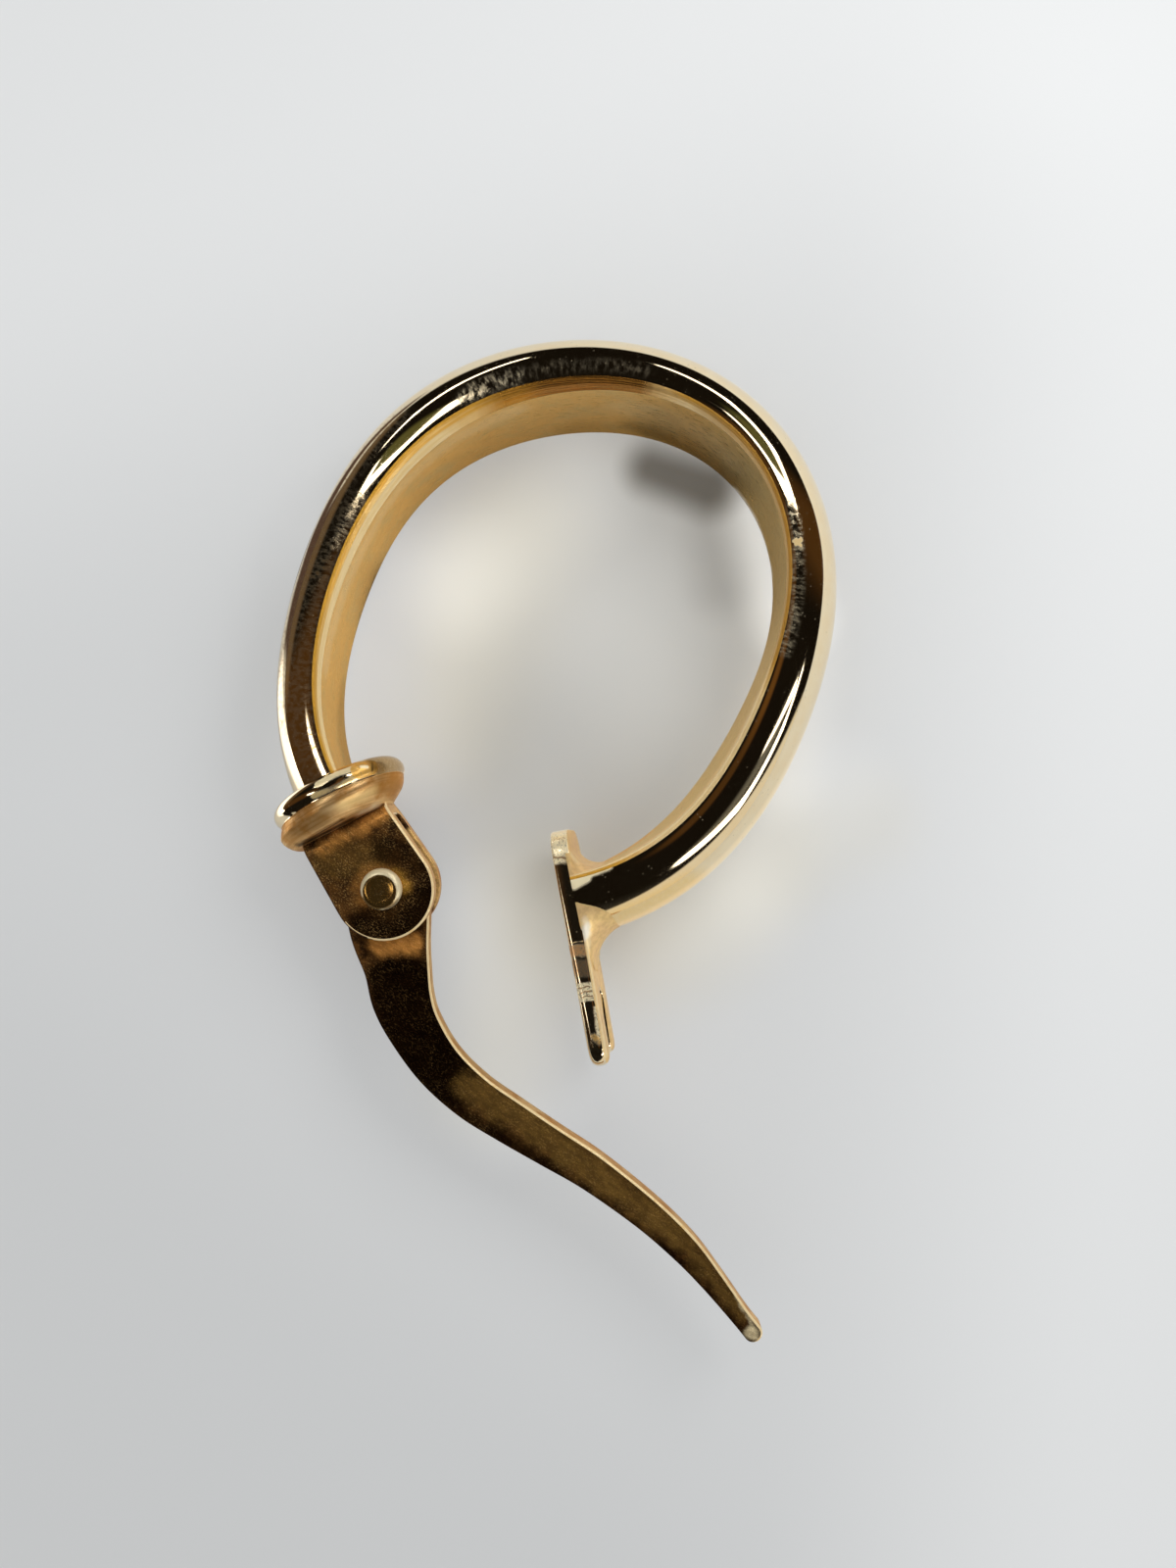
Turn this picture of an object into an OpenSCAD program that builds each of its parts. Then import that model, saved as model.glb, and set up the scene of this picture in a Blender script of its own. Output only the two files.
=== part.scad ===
// Hinged oval hoop earring, lying on its side.
// +Z is the hoop's axis and +Y points from the middle of the oval to its closure.

/* [Oval band] */
// Half of the oval's inner length, along Y
oval_half_length = 7.22; // [6.5:0.02:8]
// Half of the oval's inner width, along X
oval_half_width = 5.98; // [5.4:0.02:6.6]
// How far the oval's four shoulders stand out from a true ellipse
oval_shoulder = 0.09; // [0:0.01:0.12]
// Mean width of the band, along the hoop's axis
band_width = 3.9; // [3.6:0.05:4.1]
// How much wider than the mean the band is opposite the closure
band_swell = 0.5; // [0.2:0.05:0.6]
// Mean thickness of the band, from its flat inner wall to its domed outside
band_thickness = 1.64; // [1.4:0.02:1.8]
// How much the thickness changes from shoulder to shoulder
band_thickness_change = 0.14; // [0:0.01:0.16]
// How far the inner wall leans in and out on its way round
wall_lean = 0.12; // [0:0.01:0.15]
// Angle of the band's end at the hinge, seen from the middle of the oval
hinge_end_angle = 71; // [70:0.5:73]
// Angle of the band's end at the catch
catch_end_angle = 128.5; // [127.5:0.5:130]

/* [Collar] */
// Radius of the round collar that closes the band's end
collar_radius = 1.97; // [1.85:0.01:2.05]
// Thickness of the collar's rounded rim
collar_thickness = 0.64; // [0.5:0.02:0.7]
// Radius of the round seat between the rim and the yoke
seat_radius = 1.68; // [1.6:0.01:1.85]
// Thickness of the seat
seat_thickness = 0.62; // [0.4:0.02:0.7]
// How far the collar leans back over the band, in degrees
collar_lean = 7; // [0:1:8]

/* [Hinge yoke] */
// Distance from the collar's middle to the rivet
rivet_reach = 2.95; // [2.8:0.01:3.1]
// Radius of the round end of an ear
ear_radius = 1.39; // [1.3:0.01:1.5]
// Thickness of an ear
ear_thickness = 0.5; // [0.4:0.05:0.5]
// Width of an ear where it leaves the collar
ear_base_width = 2.34; // [2.2:0.02:2.6]
// Gap between the two ears
ear_gap = 0.7; // [0.7:0.02:0.8]

/* [Rivet] */
// Radius of the rivet's shaft
rivet_radius = 0.4; // [0.3:0.02:0.45]
// Radius of the rivet's domed heads
rivet_head_radius = 0.58; // [0.54:0.02:0.65]
// Height of a head above its ear
rivet_head_height = 0.26; // [0.2:0.02:0.3]

/* [Ear post] */
// Thickness of the flat post
post_thickness = 0.6; // [0.5:0.02:0.6]

/* [Catch] */
// Length of the forked catch plate
catch_length = 6.6; // [6.2:0.05:6.8]
// Width of the plate, along the hoop's axis
catch_width = 2.9; // [2.7:0.05:3.2]
// Thickness of the plate
catch_thickness = 0.5; // [0.45:0.01:0.55]
// Length of the slot between the two prongs
slot_length = 2.05; // [1.6:0.05:2.1]
// Width of the slot
slot_width = 0.86; // [0.84:0.01:0.95]
// Direction of the plate, in degrees from +X
catch_angle = 134.4; // [133:0.2:135.4]
// How far the plate leans about its own length, in degrees
catch_lean = 5; // [0:1:7]
// How far the plate's free end rises towards +Z, in degrees
catch_rise = 4; // [0:1:5]
// Radius of the solder between the plate and the band's inner wall
solder_inner_radius = 0.75; // [0.6:0.05:0.85]
// Radius of the solder between the plate and the band's outside
solder_outer_radius = 0.85; // [0.6:0.05:1]

/* [Hidden] */
$fn = 64;

gold = [0.86, 0.66, 0.30];
dark_gold = [0.55, 0.40, 0.17];
running_clearance = 0.04;
seat_clearance = 0.02;
step_angle = 0.5;
arc_step = 15;

// The band runs clockwise from the hinge end round to the catch end
band_turn = 360 - catch_end_angle + hinge_end_angle;
band_rings = 72;
profile_steps = 15;
swell_angle = -86;

// Places in the plane of the hoop, measured from the middle of the oval
collar_place = [2.575, 7.035];
yoke_angle = 151;
seat_shift = 0.3;
seat_edge = 0.25;
ear_base_shift = 0.26;
ear_base_reach = 0.94;
ear_root = 0.2;
ear_end = [3.02, -0.04];
web_reach = 1.3;
catch_place = [-5.59, 6.71];
catch_corner = 0.75;
solder_height = 2.5;

// Where the band's inner wall and its outside meet the plate, along it from its middle
solder_inner_reach = -2.3;
solder_outer_reach = -0.32;

// Waves round the oval: how many, how high, and the angle of a crest
oval_waves = [[3, 0.5 * oval_shoulder, -106], [4, oval_shoulder, -115]];
thickness_waves = [
    [1, 0.7 * band_thickness_change, 182],
    [2, band_thickness_change, -37],
    [3, 0.3 * band_thickness_change, -47]
];
lean_waves = [[1, wall_lean, 154], [2, 1.15 * wall_lean, -99], [3, wall_lean, -135]];
wave_count = 0;
wave_height = 1;
wave_crest = 2;

// The post's middle line, from the rivet to its tip: x, y, width of the blade there
post_sections = [
    [0.00, 0.00, 2.50],
    [-0.80, 0.98, 2.25],
    [-1.55, 1.73, 1.87],
    [-2.18, 2.39, 1.73],
    [-2.94, 2.89, 1.54],
    [-4.09, 3.36, 1.41],
    [-5.36, 3.57, 1.34],
    [-6.63, 3.56, 1.27],
    [-7.95, 3.51, 1.17],
    [-9.43, 3.45, 1.07],
    [-11.31, 3.55, 0.95],
    [-12.76, 3.77, 0.85],
    [-13.94, 4.09, 0.69],
    [-15.14, 4.48, 0.55],
    [-15.72, 4.66, 0.54]
];
post_steps = 5;
section_x = 0;
section_y = 1;
section_width = 2;

function unit(v) = v / norm(v);
function left_of(v) = [-v[1], v[0]];
function turned(angle, reach) = [reach * cos(angle), reach * sin(angle)];

// The sum of a table of waves at an angle
function waves(table, angle) =
    [for (row = table) row[wave_height]]
    * [for (row = table) cos(row[wave_count] * (angle - row[wave_crest]))];

// Where a straight line from a point outside a circle touches it, on the left or on the right
function touch_point(point, centre, radius, side) =
    let (away = point - centre)
    let (angle = atan2(away[1], away[0]) + side * acos(radius / norm(away)))
    centre + turned(angle, radius);

// Radius of the oval's inner wall at an angle
function oval_radius(angle) =
    oval_half_width * oval_half_length
    / norm([oval_half_length * cos(angle), oval_half_width * sin(angle)])
    + waves(oval_waves, angle);

function oval_point(angle) = turned(angle, oval_radius(angle));

// The direction across the band, away from the middle of the oval
function oval_outward(angle) =
    left_of(unit(oval_point(angle - step_angle) - oval_point(angle + step_angle)));

function band_half_width(angle) =
    (band_width + band_swell * cos(angle - swell_angle)) / 2;

function band_thickness_at(angle) = band_thickness + waves(thickness_waves, angle);

// One point of the band's half-round section: a turn of 90 is the rim that faces +Z
function band_point(angle, turn) =
    let (half = band_half_width(angle))
    let (lean = waves(lean_waves, angle) * (1 - sin(turn)) / 2)
    let (across = band_thickness_at(angle) * cos(turn) + lean)
    let (place = oval_point(angle) + oval_outward(angle) * across)
    [place[0], place[1], half * sin(turn)];

band_angles = [for (i = [0 : band_rings]) hinge_end_angle - band_turn * i / band_rings];
profile_turns = [for (j = [0 : profile_steps]) -90 + 180 * j / profile_steps];
band_points = [for (angle = band_angles) for (turn = profile_turns) band_point(angle, turn)];

// Smooth interpolation of a table's rows
function smooth(before, from, to, after, t) =
    0.5 * (2 * from + (to - before) * t
    + (2 * before - 5 * from + 4 * to - after) * t * t
    + (3 * from - before - 3 * to + after) * t * t * t);

post_last = len(post_sections) - 1;
function post_row(i) = post_sections[min(max(i, 0), post_last)];
post_line = [
    for (i = [0 : post_last - 1]) for (k = [0 : post_steps - 1])
        smooth(post_row(i - 1), post_row(i), post_row(i + 1), post_row(i + 2), k / post_steps),
    post_row(post_last)
];
post_points = len(post_line) - 1;
function post_place(i) = [post_line[i][section_x], post_line[i][section_y]];
function post_side(i) =
    left_of(unit(post_place(min(i + 1, post_points)) - post_place(max(i - 1, 0))));
function post_edge(i, side) = post_place(i) + side * post_side(i) * post_line[i][section_width] / 2;
post_tip = post_place(post_points);
post_tip_radius = post_row(post_last)[section_width] / 2;
post_tip_angle = atan2(post_side(post_points)[1], post_side(post_points)[0]);
post_heel_angle = atan2(post_side(0)[1], post_side(0)[0]);

// The rivet's axis, in the plane of the hoop
rivet_place = collar_place + turned(yoke_angle, rivet_reach);

// The whole part's box, so that its origin lies at the middle of its base
band_x = [for (p = band_points) p[0]];
band_y = [for (p = band_points) p[1]];
post_y = [for (i = [0 : post_points]) for (side = [-1, 1]) rivet_place[1] + post_edge(i, side)[1]];
low_x = rivet_place[0] + post_tip[0] - post_tip_radius;
high_x = max(band_x);
low_y = min(band_y);
high_y = max(max(post_y), rivet_place[1] + post_tip[1] + post_tip_radius);
hoop_shift = [-(low_x + high_x) / 2, -(low_y + high_y) / 2];
middle_height = (band_width + band_swell) / 2;

// Moves a piece from the middle of the oval to its place over the base
module in_place() {
    translate([hoop_shift[0], hoop_shift[1], middle_height]) children();
}

// Turns a piece so that +X runs from the collar's middle to the rivet
module at_hinge() {
    translate([collar_place[0], collar_place[1], 0]) rotate([0, 0, yoke_angle]) children();
}

// The half-round band, swept round the oval
module band() {
    ring = profile_steps + 1;
    sides = [
        for (i = [0 : band_rings - 1]) for (j = [0 : profile_steps])
            let (next = (j + 1) % ring)
            [i * ring + j, (i + 1) * ring + j, (i + 1) * ring + next, i * ring + next]
    ];
    first = [for (j = [0 : profile_steps]) j];
    last = [for (j = [0 : profile_steps]) band_rings * ring + profile_steps - j];
    polyhedron(points = band_points, faces = concat(sides, [first], [last]), convexity = 4);
}

// The round collar: a rounded rim, and the seat below it that carries the yoke
module collar() {
    rim = collar_thickness / 2;
    rotate([0, 90 - collar_lean, 0]) {
        rotate_extrude() {
            translate([0, -rim]) square([collar_radius - rim, collar_thickness]);
            translate([collar_radius - rim, 0]) intersection() {
                circle(rim);
                translate([0, -rim]) square([rim, collar_thickness]);
            }
        }
        translate([0, -seat_shift, 0]) rotate_extrude() {
            square([seat_radius, rim + seat_thickness - seat_edge]);
            square([seat_radius - seat_edge, rim + seat_thickness]);
            translate([seat_radius - seat_edge, rim + seat_thickness - seat_edge])
                circle(seat_edge);
        }
    }
}

// Outline of one ear: a tongue with a round end
module ear_outline() {
    outer = [ear_base_reach, -ear_base_shift - ear_base_width / 2];
    inner = [ear_base_reach, -ear_base_shift + ear_base_width / 2];
    translate(ear_end) circle(ear_radius);
    polygon([[ear_root, outer[1]], outer, touch_point(outer, ear_end, ear_radius, 1), ear_end,
        touch_point(inner, ear_end, ear_radius, -1), inner, [ear_root, inner[1]]]);
}

// The U-shaped yoke: two ears and the web between them, bored for the rivet
module yoke() {
    height = ear_gap + 2 * ear_thickness;
    mouth = 2 * (rivet_reach + ear_radius);
    difference() {
        translate([0, 0, -height / 2]) linear_extrude(height) ear_outline();
        translate([web_reach, -mouth / 2, -ear_gap / 2]) cube([mouth, mouth, ear_gap]);
        translate([rivet_reach, 0, -height])
            cylinder(h = 2 * height, r = rivet_radius + seat_clearance);
    }
}

// Outline of the catch plate: rounded corners at the band's end, and a round end for each prong
module plate_outline() {
    prong = (catch_width - slot_width) / 2;
    half = catch_length / 2;
    translate([-half, catch_corner - catch_width / 2])
        square([catch_corner, catch_width - 2 * catch_corner]);
    for (side = [-1, 1]) {
        translate([catch_corner - half, side * (catch_width / 2 - catch_corner)])
            circle(catch_corner);
        translate([half - prong / 2, side * (catch_width - prong) / 2]) circle(prong / 2);
    }
    translate([catch_corner - half, -catch_width / 2])
        square([catch_length - catch_corner - prong / 2, catch_width]);
}

// The slot, with its round root, open away from the hoop
module slot_outline() {
    root = catch_length / 2 - slot_length + slot_width / 2;
    translate([root, 0]) circle(slot_width / 2);
    translate([root, -slot_width / 2]) square([catch_length, slot_width]);
}

// Stands a flat outline up as a plate of the given thickness where the catch is
module across_catch(rise, thickness) {
    translate([catch_place[0], catch_place[1], 0]) rotate([catch_lean, -rise, catch_angle])
        rotate([90, 0, 0]) linear_extrude(thickness, center = true) children();
}

// The slot keeps to the plane of the post, while the plate's free end rises
module catch() {
    difference() {
        across_catch(catch_rise, catch_thickness) plate_outline();
        across_catch(0, 4 * catch_thickness) slot_outline();
    }
}

// Solder in the corner between the plate and the band, open towards one end of the plate
module solder(reach, side, radius) {
    face = catch_thickness / 2;
    translate([catch_place[0], catch_place[1], -solder_height / 2]) rotate([0, 0, catch_angle])
        translate([reach, 0]) linear_extrude(solder_height) difference() {
            translate([side < 0 ? -radius : 0, 0]) square([radius, radius + face]);
            translate([side * radius, radius + face]) circle(radius);
        }
}

// All that is soldered together
module hoop() {
    color(gold) in_place() {
        band();
        at_hinge() collar();
        at_hinge() yoke();
        catch();
        solder(solder_inner_reach, -1, solder_inner_radius);
        solder(solder_outer_reach, 1, solder_outer_radius);
    }
}

// The flat post, with a round heel about the rivet and a round tip
module ear_post() {
    heel_radius = post_row(0)[section_width] / 2;
    heel = [for (turn = [arc_step : arc_step : 180 - arc_step])
        turned(post_heel_angle + 180 - turn, heel_radius)];
    left = [for (i = [0 : post_points]) post_edge(i, 1)];
    tip = [for (turn = [arc_step : arc_step : 180 - arc_step])
        post_tip + turned(post_tip_angle - turn, post_tip_radius)];
    right = [for (i = [0 : post_points]) post_edge(post_points - i, -1)];
    color(dark_gold) in_place() translate([rivet_place[0], rivet_place[1], -post_thickness / 2])
        difference() {
            linear_extrude(post_thickness) polygon(concat(left, tip, right, heel));
            translate([0, 0, -post_thickness])
                cylinder(h = 3 * post_thickness, r = rivet_radius + running_clearance);
        }
}

// The rivet: a shaft with a domed head on each ear
module rivet() {
    half = ear_gap / 2 + ear_thickness + seat_clearance;
    dome = (rivet_head_radius * rivet_head_radius + rivet_head_height * rivet_head_height)
        / (2 * rivet_head_height);
    color(gold) in_place() translate([rivet_place[0], rivet_place[1], 0]) {
        translate([0, 0, -half]) cylinder(h = 2 * half, r = rivet_radius);
        for (side = [0, 1]) mirror([0, 0, side]) translate([0, 0, half])
            rotate_extrude() intersection() {
                translate([0, rivet_head_height - dome]) circle(dome);
                square([rivet_head_radius, rivet_head_height]);
            }
    }
}

hoop();
ear_post();
rivet();
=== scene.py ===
# Looks of a hinged oval hoop earring in yellow gold, lying open on its side.
import math
import bpy
from mathutils import Matrix, Vector


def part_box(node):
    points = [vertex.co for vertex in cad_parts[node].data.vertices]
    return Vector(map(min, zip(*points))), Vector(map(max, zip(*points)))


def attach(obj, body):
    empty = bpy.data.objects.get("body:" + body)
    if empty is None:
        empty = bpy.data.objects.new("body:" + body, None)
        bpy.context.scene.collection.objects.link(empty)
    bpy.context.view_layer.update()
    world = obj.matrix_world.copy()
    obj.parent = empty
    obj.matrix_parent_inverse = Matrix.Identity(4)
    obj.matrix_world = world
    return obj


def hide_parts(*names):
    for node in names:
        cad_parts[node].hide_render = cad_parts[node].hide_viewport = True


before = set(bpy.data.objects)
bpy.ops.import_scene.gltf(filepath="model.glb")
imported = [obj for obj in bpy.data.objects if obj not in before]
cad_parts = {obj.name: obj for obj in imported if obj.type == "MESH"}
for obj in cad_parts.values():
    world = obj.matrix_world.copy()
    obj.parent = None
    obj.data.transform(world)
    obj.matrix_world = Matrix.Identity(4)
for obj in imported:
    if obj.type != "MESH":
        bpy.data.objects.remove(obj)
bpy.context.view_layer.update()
mm = 0.001
scene = bpy.context.scene

photoCamera = {
    "place": (1.108, 0.539, 34.6),    # mm, straight above the middle of the picture
    "turn": -146,                     # degrees about the line of sight
    "lens": 26,
    "sensor": 36,
    "nearest": 1,
}


def aimCamera():
    place = [value * mm for value in photoCamera["place"]]
    turn = math.radians(photoCamera["turn"])
    bpy.ops.object.camera_add(location=place, rotation=(0, 0, turn))
    camera = bpy.context.object
    camera.name = "photoCamera"
    camera.data.lens = photoCamera["lens"]
    camera.data.sensor_width = photoCamera["sensor"]
    camera.data.clip_start = photoCamera["nearest"] * mm
    scene.camera = camera


aimCamera()
print("camera is in place")


# Small tools for the modelling
def deselectAll():
    bpy.ops.object.select_all(action="DESELECT")


def startPiece(name):
    piece = bpy.context.object
    piece.name = name
    piece.data.name = name
    return piece


def pick(piece):
    deselectAll()
    piece.select_set(True)
    bpy.context.view_layer.objects.active = piece


def edit(piece):
    pick(piece)
    bpy.ops.object.mode_set(mode="EDIT")
    bpy.ops.mesh.select_mode(type="VERT")
    bpy.ops.mesh.select_all(action="SELECT")


def leaveEdit():
    bpy.ops.object.mode_set(mode="OBJECT")


def weldAndTurnOut(piece, distance=0.0005):
    edit(piece)
    bpy.ops.mesh.remove_doubles(threshold=distance * mm)
    bpy.ops.mesh.select_all(action="SELECT")
    bpy.ops.mesh.normals_make_consistent(inside=False)
    leaveEdit()


def seal(piece):
    # Welded, with its open ends closed and its faces turned outwards
    weldAndTurnOut(piece)
    edit(piece)
    bpy.ops.mesh.fill_holes(sides=0)
    leaveEdit()
    weldAndTurnOut(piece)


def cutWith(piece, cutter):
    pick(piece)
    cut = piece.modifiers.new("cut", "BOOLEAN")
    cut.operation = "DIFFERENCE"
    cut.object = cutter
    cut.solver = "EXACT"
    bpy.ops.object.modifier_apply(modifier=cut.name)
    bpy.data.objects.remove(cutter)


def keepRightEdges(piece, least):
    # Only the upper edges that face the picture's right keep the bright edge material, a painted highlight on
    # the side towards the light
    right = turned(photoCamera["turn"], 1).to_3d()
    for face in piece.data.polygons:
        away = face.normal.dot(right) < least or face.center.z < rivetMiddle.z
        if face.material_index == 1 and away:
            face.material_index = 0


def smooth(piece, angle=35):
    pick(piece)
    bpy.ops.object.shade_smooth_by_angle(angle=math.radians(angle))


def put(piece, matrix):
    pick(piece)
    piece.matrix_world = matrix
    bpy.ops.object.transform_apply(location=True, rotation=True, scale=True)


def gridOver(name, columns, rows, pointAt):
    # A grid whose corner (i, j) is moved to pointAt(i, j), in mm
    deselectAll()
    bpy.ops.mesh.primitive_grid_add(x_subdivisions=columns, y_subdivisions=rows, size=1)
    piece = startPiece(name)
    for vertex in piece.data.vertices:
        i = round((vertex.co.x + 0.5) * columns)
        j = round((vertex.co.y + 0.5) * rows)
        vertex.co = Vector(pointAt(i, j)) * mm
    return piece


def facesWithRows(piece, count):
    # Each face of a grid, with its place across it counted in rows
    layer = piece.data.uv_layers.active.data
    for face in piece.data.polygons:
        yield face, sum(layer[loop].uv.y for loop in face.loop_indices) / len(face.loop_indices) * count


def turned(angle, reach):
    return Vector((reach * math.cos(math.radians(angle)), reach * math.sin(math.radians(angle))))


def arcPoints(centre, radius, start, end, steps):
    return [Vector(centre) + turned(start + (end - start) * k / steps, radius) for k in range(steps + 1)]


def roundCorner(before, corner, after, radius, steps):
    # The arc that rounds the corner between two straight stretches
    back, ahead = (before - corner).normalized(), (after - corner).normalized()
    half = back.angle(ahead) / 2
    middle = corner + (back + ahead).normalized() * radius / math.sin(half)
    start = corner + back * radius / math.tan(half) - middle
    end = corner + ahead * radius / math.tan(half) - middle
    turn = math.atan2(start.x * end.y - start.y * end.x, start.dot(end))
    first = math.atan2(start.y, start.x)
    angles = [first + turn * k / steps for k in range(steps + 1)]
    return [middle + radius * Vector((math.cos(a), math.sin(a))) for a in angles]


def stripLoop(width, thickness, steps, roundSteps=4):
    # The closed loop round a strip: share across, inset from the outline, depth below the outside
    turns = [math.pi / 2 * k / roundSteps for k in range(1, roundSteps + 1)]
    corner = [(width * (1 - math.sin(turn)), width * (1 - math.cos(turn))) for turn in turns]
    face = [2 * k / steps - 1 for k in range(steps + 1)]
    top = [(share, width, 0) for share in face]
    right = [(1, inset, depth) for inset, depth in corner]
    right += [(1, inset, thickness - depth) for inset, depth in reversed(corner)]
    bottom = [(-share, width, thickness) for share in face]
    left = [(-1, inset, thickness - depth) for inset, depth in corner]
    left += [(-1, inset, depth) for inset, depth in reversed(corner)]
    return top + right + bottom + left


def sweepStrip(name, loop, stations, pointAt):
    # Faces on the loop's corners get the edge slot, and those on its sides the next one
    piece = gridOver(name, stations, len(loop), lambda i, j: pointAt(i, *loop[j % len(loop)]))
    for face, row in facesWithRows(piece, len(loop)):
        first, last = loop[int(row)], loop[(int(row) + 1) % len(loop)]
        face.material_index = 1 if first[1] != last[1] else 2 if first[1] == 0 else 0
    seal(piece)
    return piece


def easeIn(value, low, high):
    share = min(max((value - low) / (high - low), 0), 1)
    return share * share * (3 - 2 * share)


# Where things are, in mm from the middle of the oval
hinge = {"collarPlace": (2.575, 7.035), "yokeAngle": 151, "rivetReach": 2.95}
rivetPlace = Vector(hinge["collarPlace"]) + turned(hinge["yokeAngle"], hinge["rivetReach"])
rivetLow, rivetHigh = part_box("rivet")
rivetMiddle = (rivetLow + rivetHigh) / 2
hoopMiddle = rivetMiddle - Vector((rivetPlace.x, rivetPlace.y, 0)) * mm
hoopMatrix = Matrix.Translation(hoopMiddle)


def hingeMatrix():
    place = Matrix.Translation(Vector((*hinge["collarPlace"], 0)) * mm)
    return hoopMatrix @ place @ Matrix.Rotation(math.radians(hinge["yokeAngle"]), 4, "Z")


# The oval band: a half-round section swept round the oval
ovalBand = {
    "halfLength": 7.22,
    "halfWidth": 5.98,
    "width": 3.9,
    "swell": 0.5,
    "swellAt": -86,
    "thickness": 1.64,
    "start": 71,
    "end": 128.5 - 360,
    "ovalWaves": ((3, 0.045, -106), (4, 0.09, -115)),        # count, height, crest
    "thicknessWaves": ((1, 0.098, 182), (2, 0.14, -37), (3, 0.042, -47)),
    "leanWaves": ((1, 0.12, 154), (2, 0.138, -99), (3, 0.12, -135)),
    "facet": 0.14,            # mean width of the amber chamfer along the near rim
    "facetWaves": ((1, 0.09, -25), (2, 0.03, -25)),
    "facetDrops": (0.62, 1.5),        # how far it drops half way across and at its foot, in widths
    "rimRounds": (0.1, 0.05, 0.045),  # near rim, middle of the chamfer, foot of the chamfer
    "backRound": 0.12,
    "lip": 0.13,              # how thick the dome is at its rims
    "rings": 420,
    "wallSteps": 16,
    "roundSteps": 7,
    "domeSteps": 60,
    "perDegree": 0.115,       # mm along the band's own map
    "perRow": 0.094,          # mm across the map, on the dome
    "perWallRow": 0.225,      # and on the inner wall
    "smooth": 60,
}


def waves(table, angle):
    return sum(height * math.cos(math.radians(count * (angle - crest))) for count, height, crest in table)


def ovalPoint(angle):
    a = math.radians(angle)
    halfWidth, halfLength = ovalBand["halfWidth"], ovalBand["halfLength"]
    radius = halfWidth * halfLength / math.hypot(halfLength * math.cos(a), halfWidth * math.sin(a))
    return turned(angle, radius + waves(ovalBand["ovalWaves"], angle))


def ovalOutward(angle):
    along = (ovalPoint(angle - 0.5) - ovalPoint(angle + 0.5)).normalized()
    return Vector((-along.y, along.x))


def bandHalf(angle):
    swell = math.cos(math.radians(angle - ovalBand["swellAt"]))
    return (ovalBand["width"] + ovalBand["swell"] * swell) / 2


def bandThickness(angle):
    return ovalBand["thickness"] + waves(ovalBand["thicknessWaves"], angle)


def bandSection(angle):
    # The closed section: far rim, inner wall, chamfer, near rim, and the dome back to the far rim
    half, thick = bandHalf(angle), bandThickness(angle)
    width = ovalBand["facet"] + waves(ovalBand["facetWaves"], angle)
    midDrop, drop = (width * share for share in ovalBand["facetDrops"])
    farRim, nearRim = Vector((0, -half)), Vector((0, half))
    crease, foot = Vector((-width / 2, half - midDrop)), Vector((-width, half - drop))
    top = math.acos(ovalBand["lip"] / thick)
    turns = [top - 2 * top * k / ovalBand["domeSteps"] for k in range(ovalBand["domeSteps"] + 1)]
    dome = [Vector((thick * math.cos(turn), half * math.sin(turn))) for turn in turns]
    rounds, steps = ovalBand["rimRounds"], ovalBand["roundSteps"]
    back = roundCorner(dome[-1], farRim, foot, ovalBand["backRound"], steps)
    low = roundCorner(farRim, foot, crease, rounds[2], steps)
    middle = roundCorner(foot, crease, nearRim, rounds[1], steps)
    near = roundCorner(crease, nearRim, dome[0], rounds[0], steps)
    wallSteps = ovalBand["wallSteps"]
    wall = [back[-1].lerp(low[0], k / wallSteps) for k in range(1, wallSteps)]
    points = back + wall + low + middle + near + dome
    shear = waves(ovalBand["leanWaves"], angle)
    return [Vector((p.x + shear * (1 - p.y / half) / 2, p.y)) for p in points]


def bandPlace(angle, section):
    flat = ovalPoint(angle) + ovalOutward(angle) * section.x
    return Vector((flat.x, flat.y, section.y))


def ovalTurn(share):
    return ovalBand["start"] + (ovalBand["end"] - ovalBand["start"]) * share


def makeBand():
    rings = ovalBand["rings"]
    sections = [bandSection(ovalTurn(i / rings)) for i in range(rings + 1)]
    count = len(sections[0])
    band = gridOver("band", rings, count,
                    lambda i, j: bandPlace(ovalTurn(i / rings), sections[i][j % count]))
    wallStart = ovalBand["roundSteps"]
    wallEnd = wallStart + ovalBand["wallSteps"]
    facetEnd = wallEnd + 3 * ovalBand["roundSteps"] + 2
    for face, row in facesWithRows(band, count):
        if wallStart < row < wallEnd:
            face.material_index = 1
        elif wallEnd < row < facetEnd:
            face.material_index = 2
    seal(band)
    smooth(band, ovalBand["smooth"])
    put(band, hoopMatrix)
    return band


def mapAlong(angle):
    return (ovalBand["start"] - angle) * ovalBand["perDegree"]


def onDome(angle, across):
    # A place on the band's own map: across is 0 at the near rim and 1 on the widest line
    steps = ovalBand["domeSteps"] / 2
    first = ovalBand["wallSteps"] + 4 * ovalBand["roundSteps"] + 3
    top = math.acos(ovalBand["lip"] / bandThickness(angle))
    return mapAlong(angle), (first + steps * (1 - math.acos(across) / top)) * ovalBand["perRow"], 0


def onWall(angle, height):
    # A place on the inner wall's map: height is -1 at the far rim and 1 at the near one
    row = ovalBand["roundSteps"] + ovalBand["wallSteps"] * (1 + height) / 2
    return mapAlong(angle), row * ovalBand["perWallRow"], 0


band = makeBand()
print("band is modelled")

# The catch: a forked plate across the band's other end
catchFork = {
    "length": 6.6,
    "width": 2.9,
    "thickness": 0.5,
    "place": (-5.59, 6.71),
    "angle": 134.4,
    "lean": 5,
    "rise": 4,
    "corner": 0.75,
    "slotLength": 2.05,
    "slotWidth": 0.86,
    "edge": 0.2,             # rounding at the prongs' ends
    "thinEdge": 0.32,        # share of it elsewhere
    "edgeSteps": 5,
    "endsFrom": 2.35,
    "endsTo": 2.75,
    "cornerSteps": 10,
    "prongSteps": 16,
    "slotSteps": 14,
    "backFacing": -0.6,      # faces turned further away are soldered
}


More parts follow.
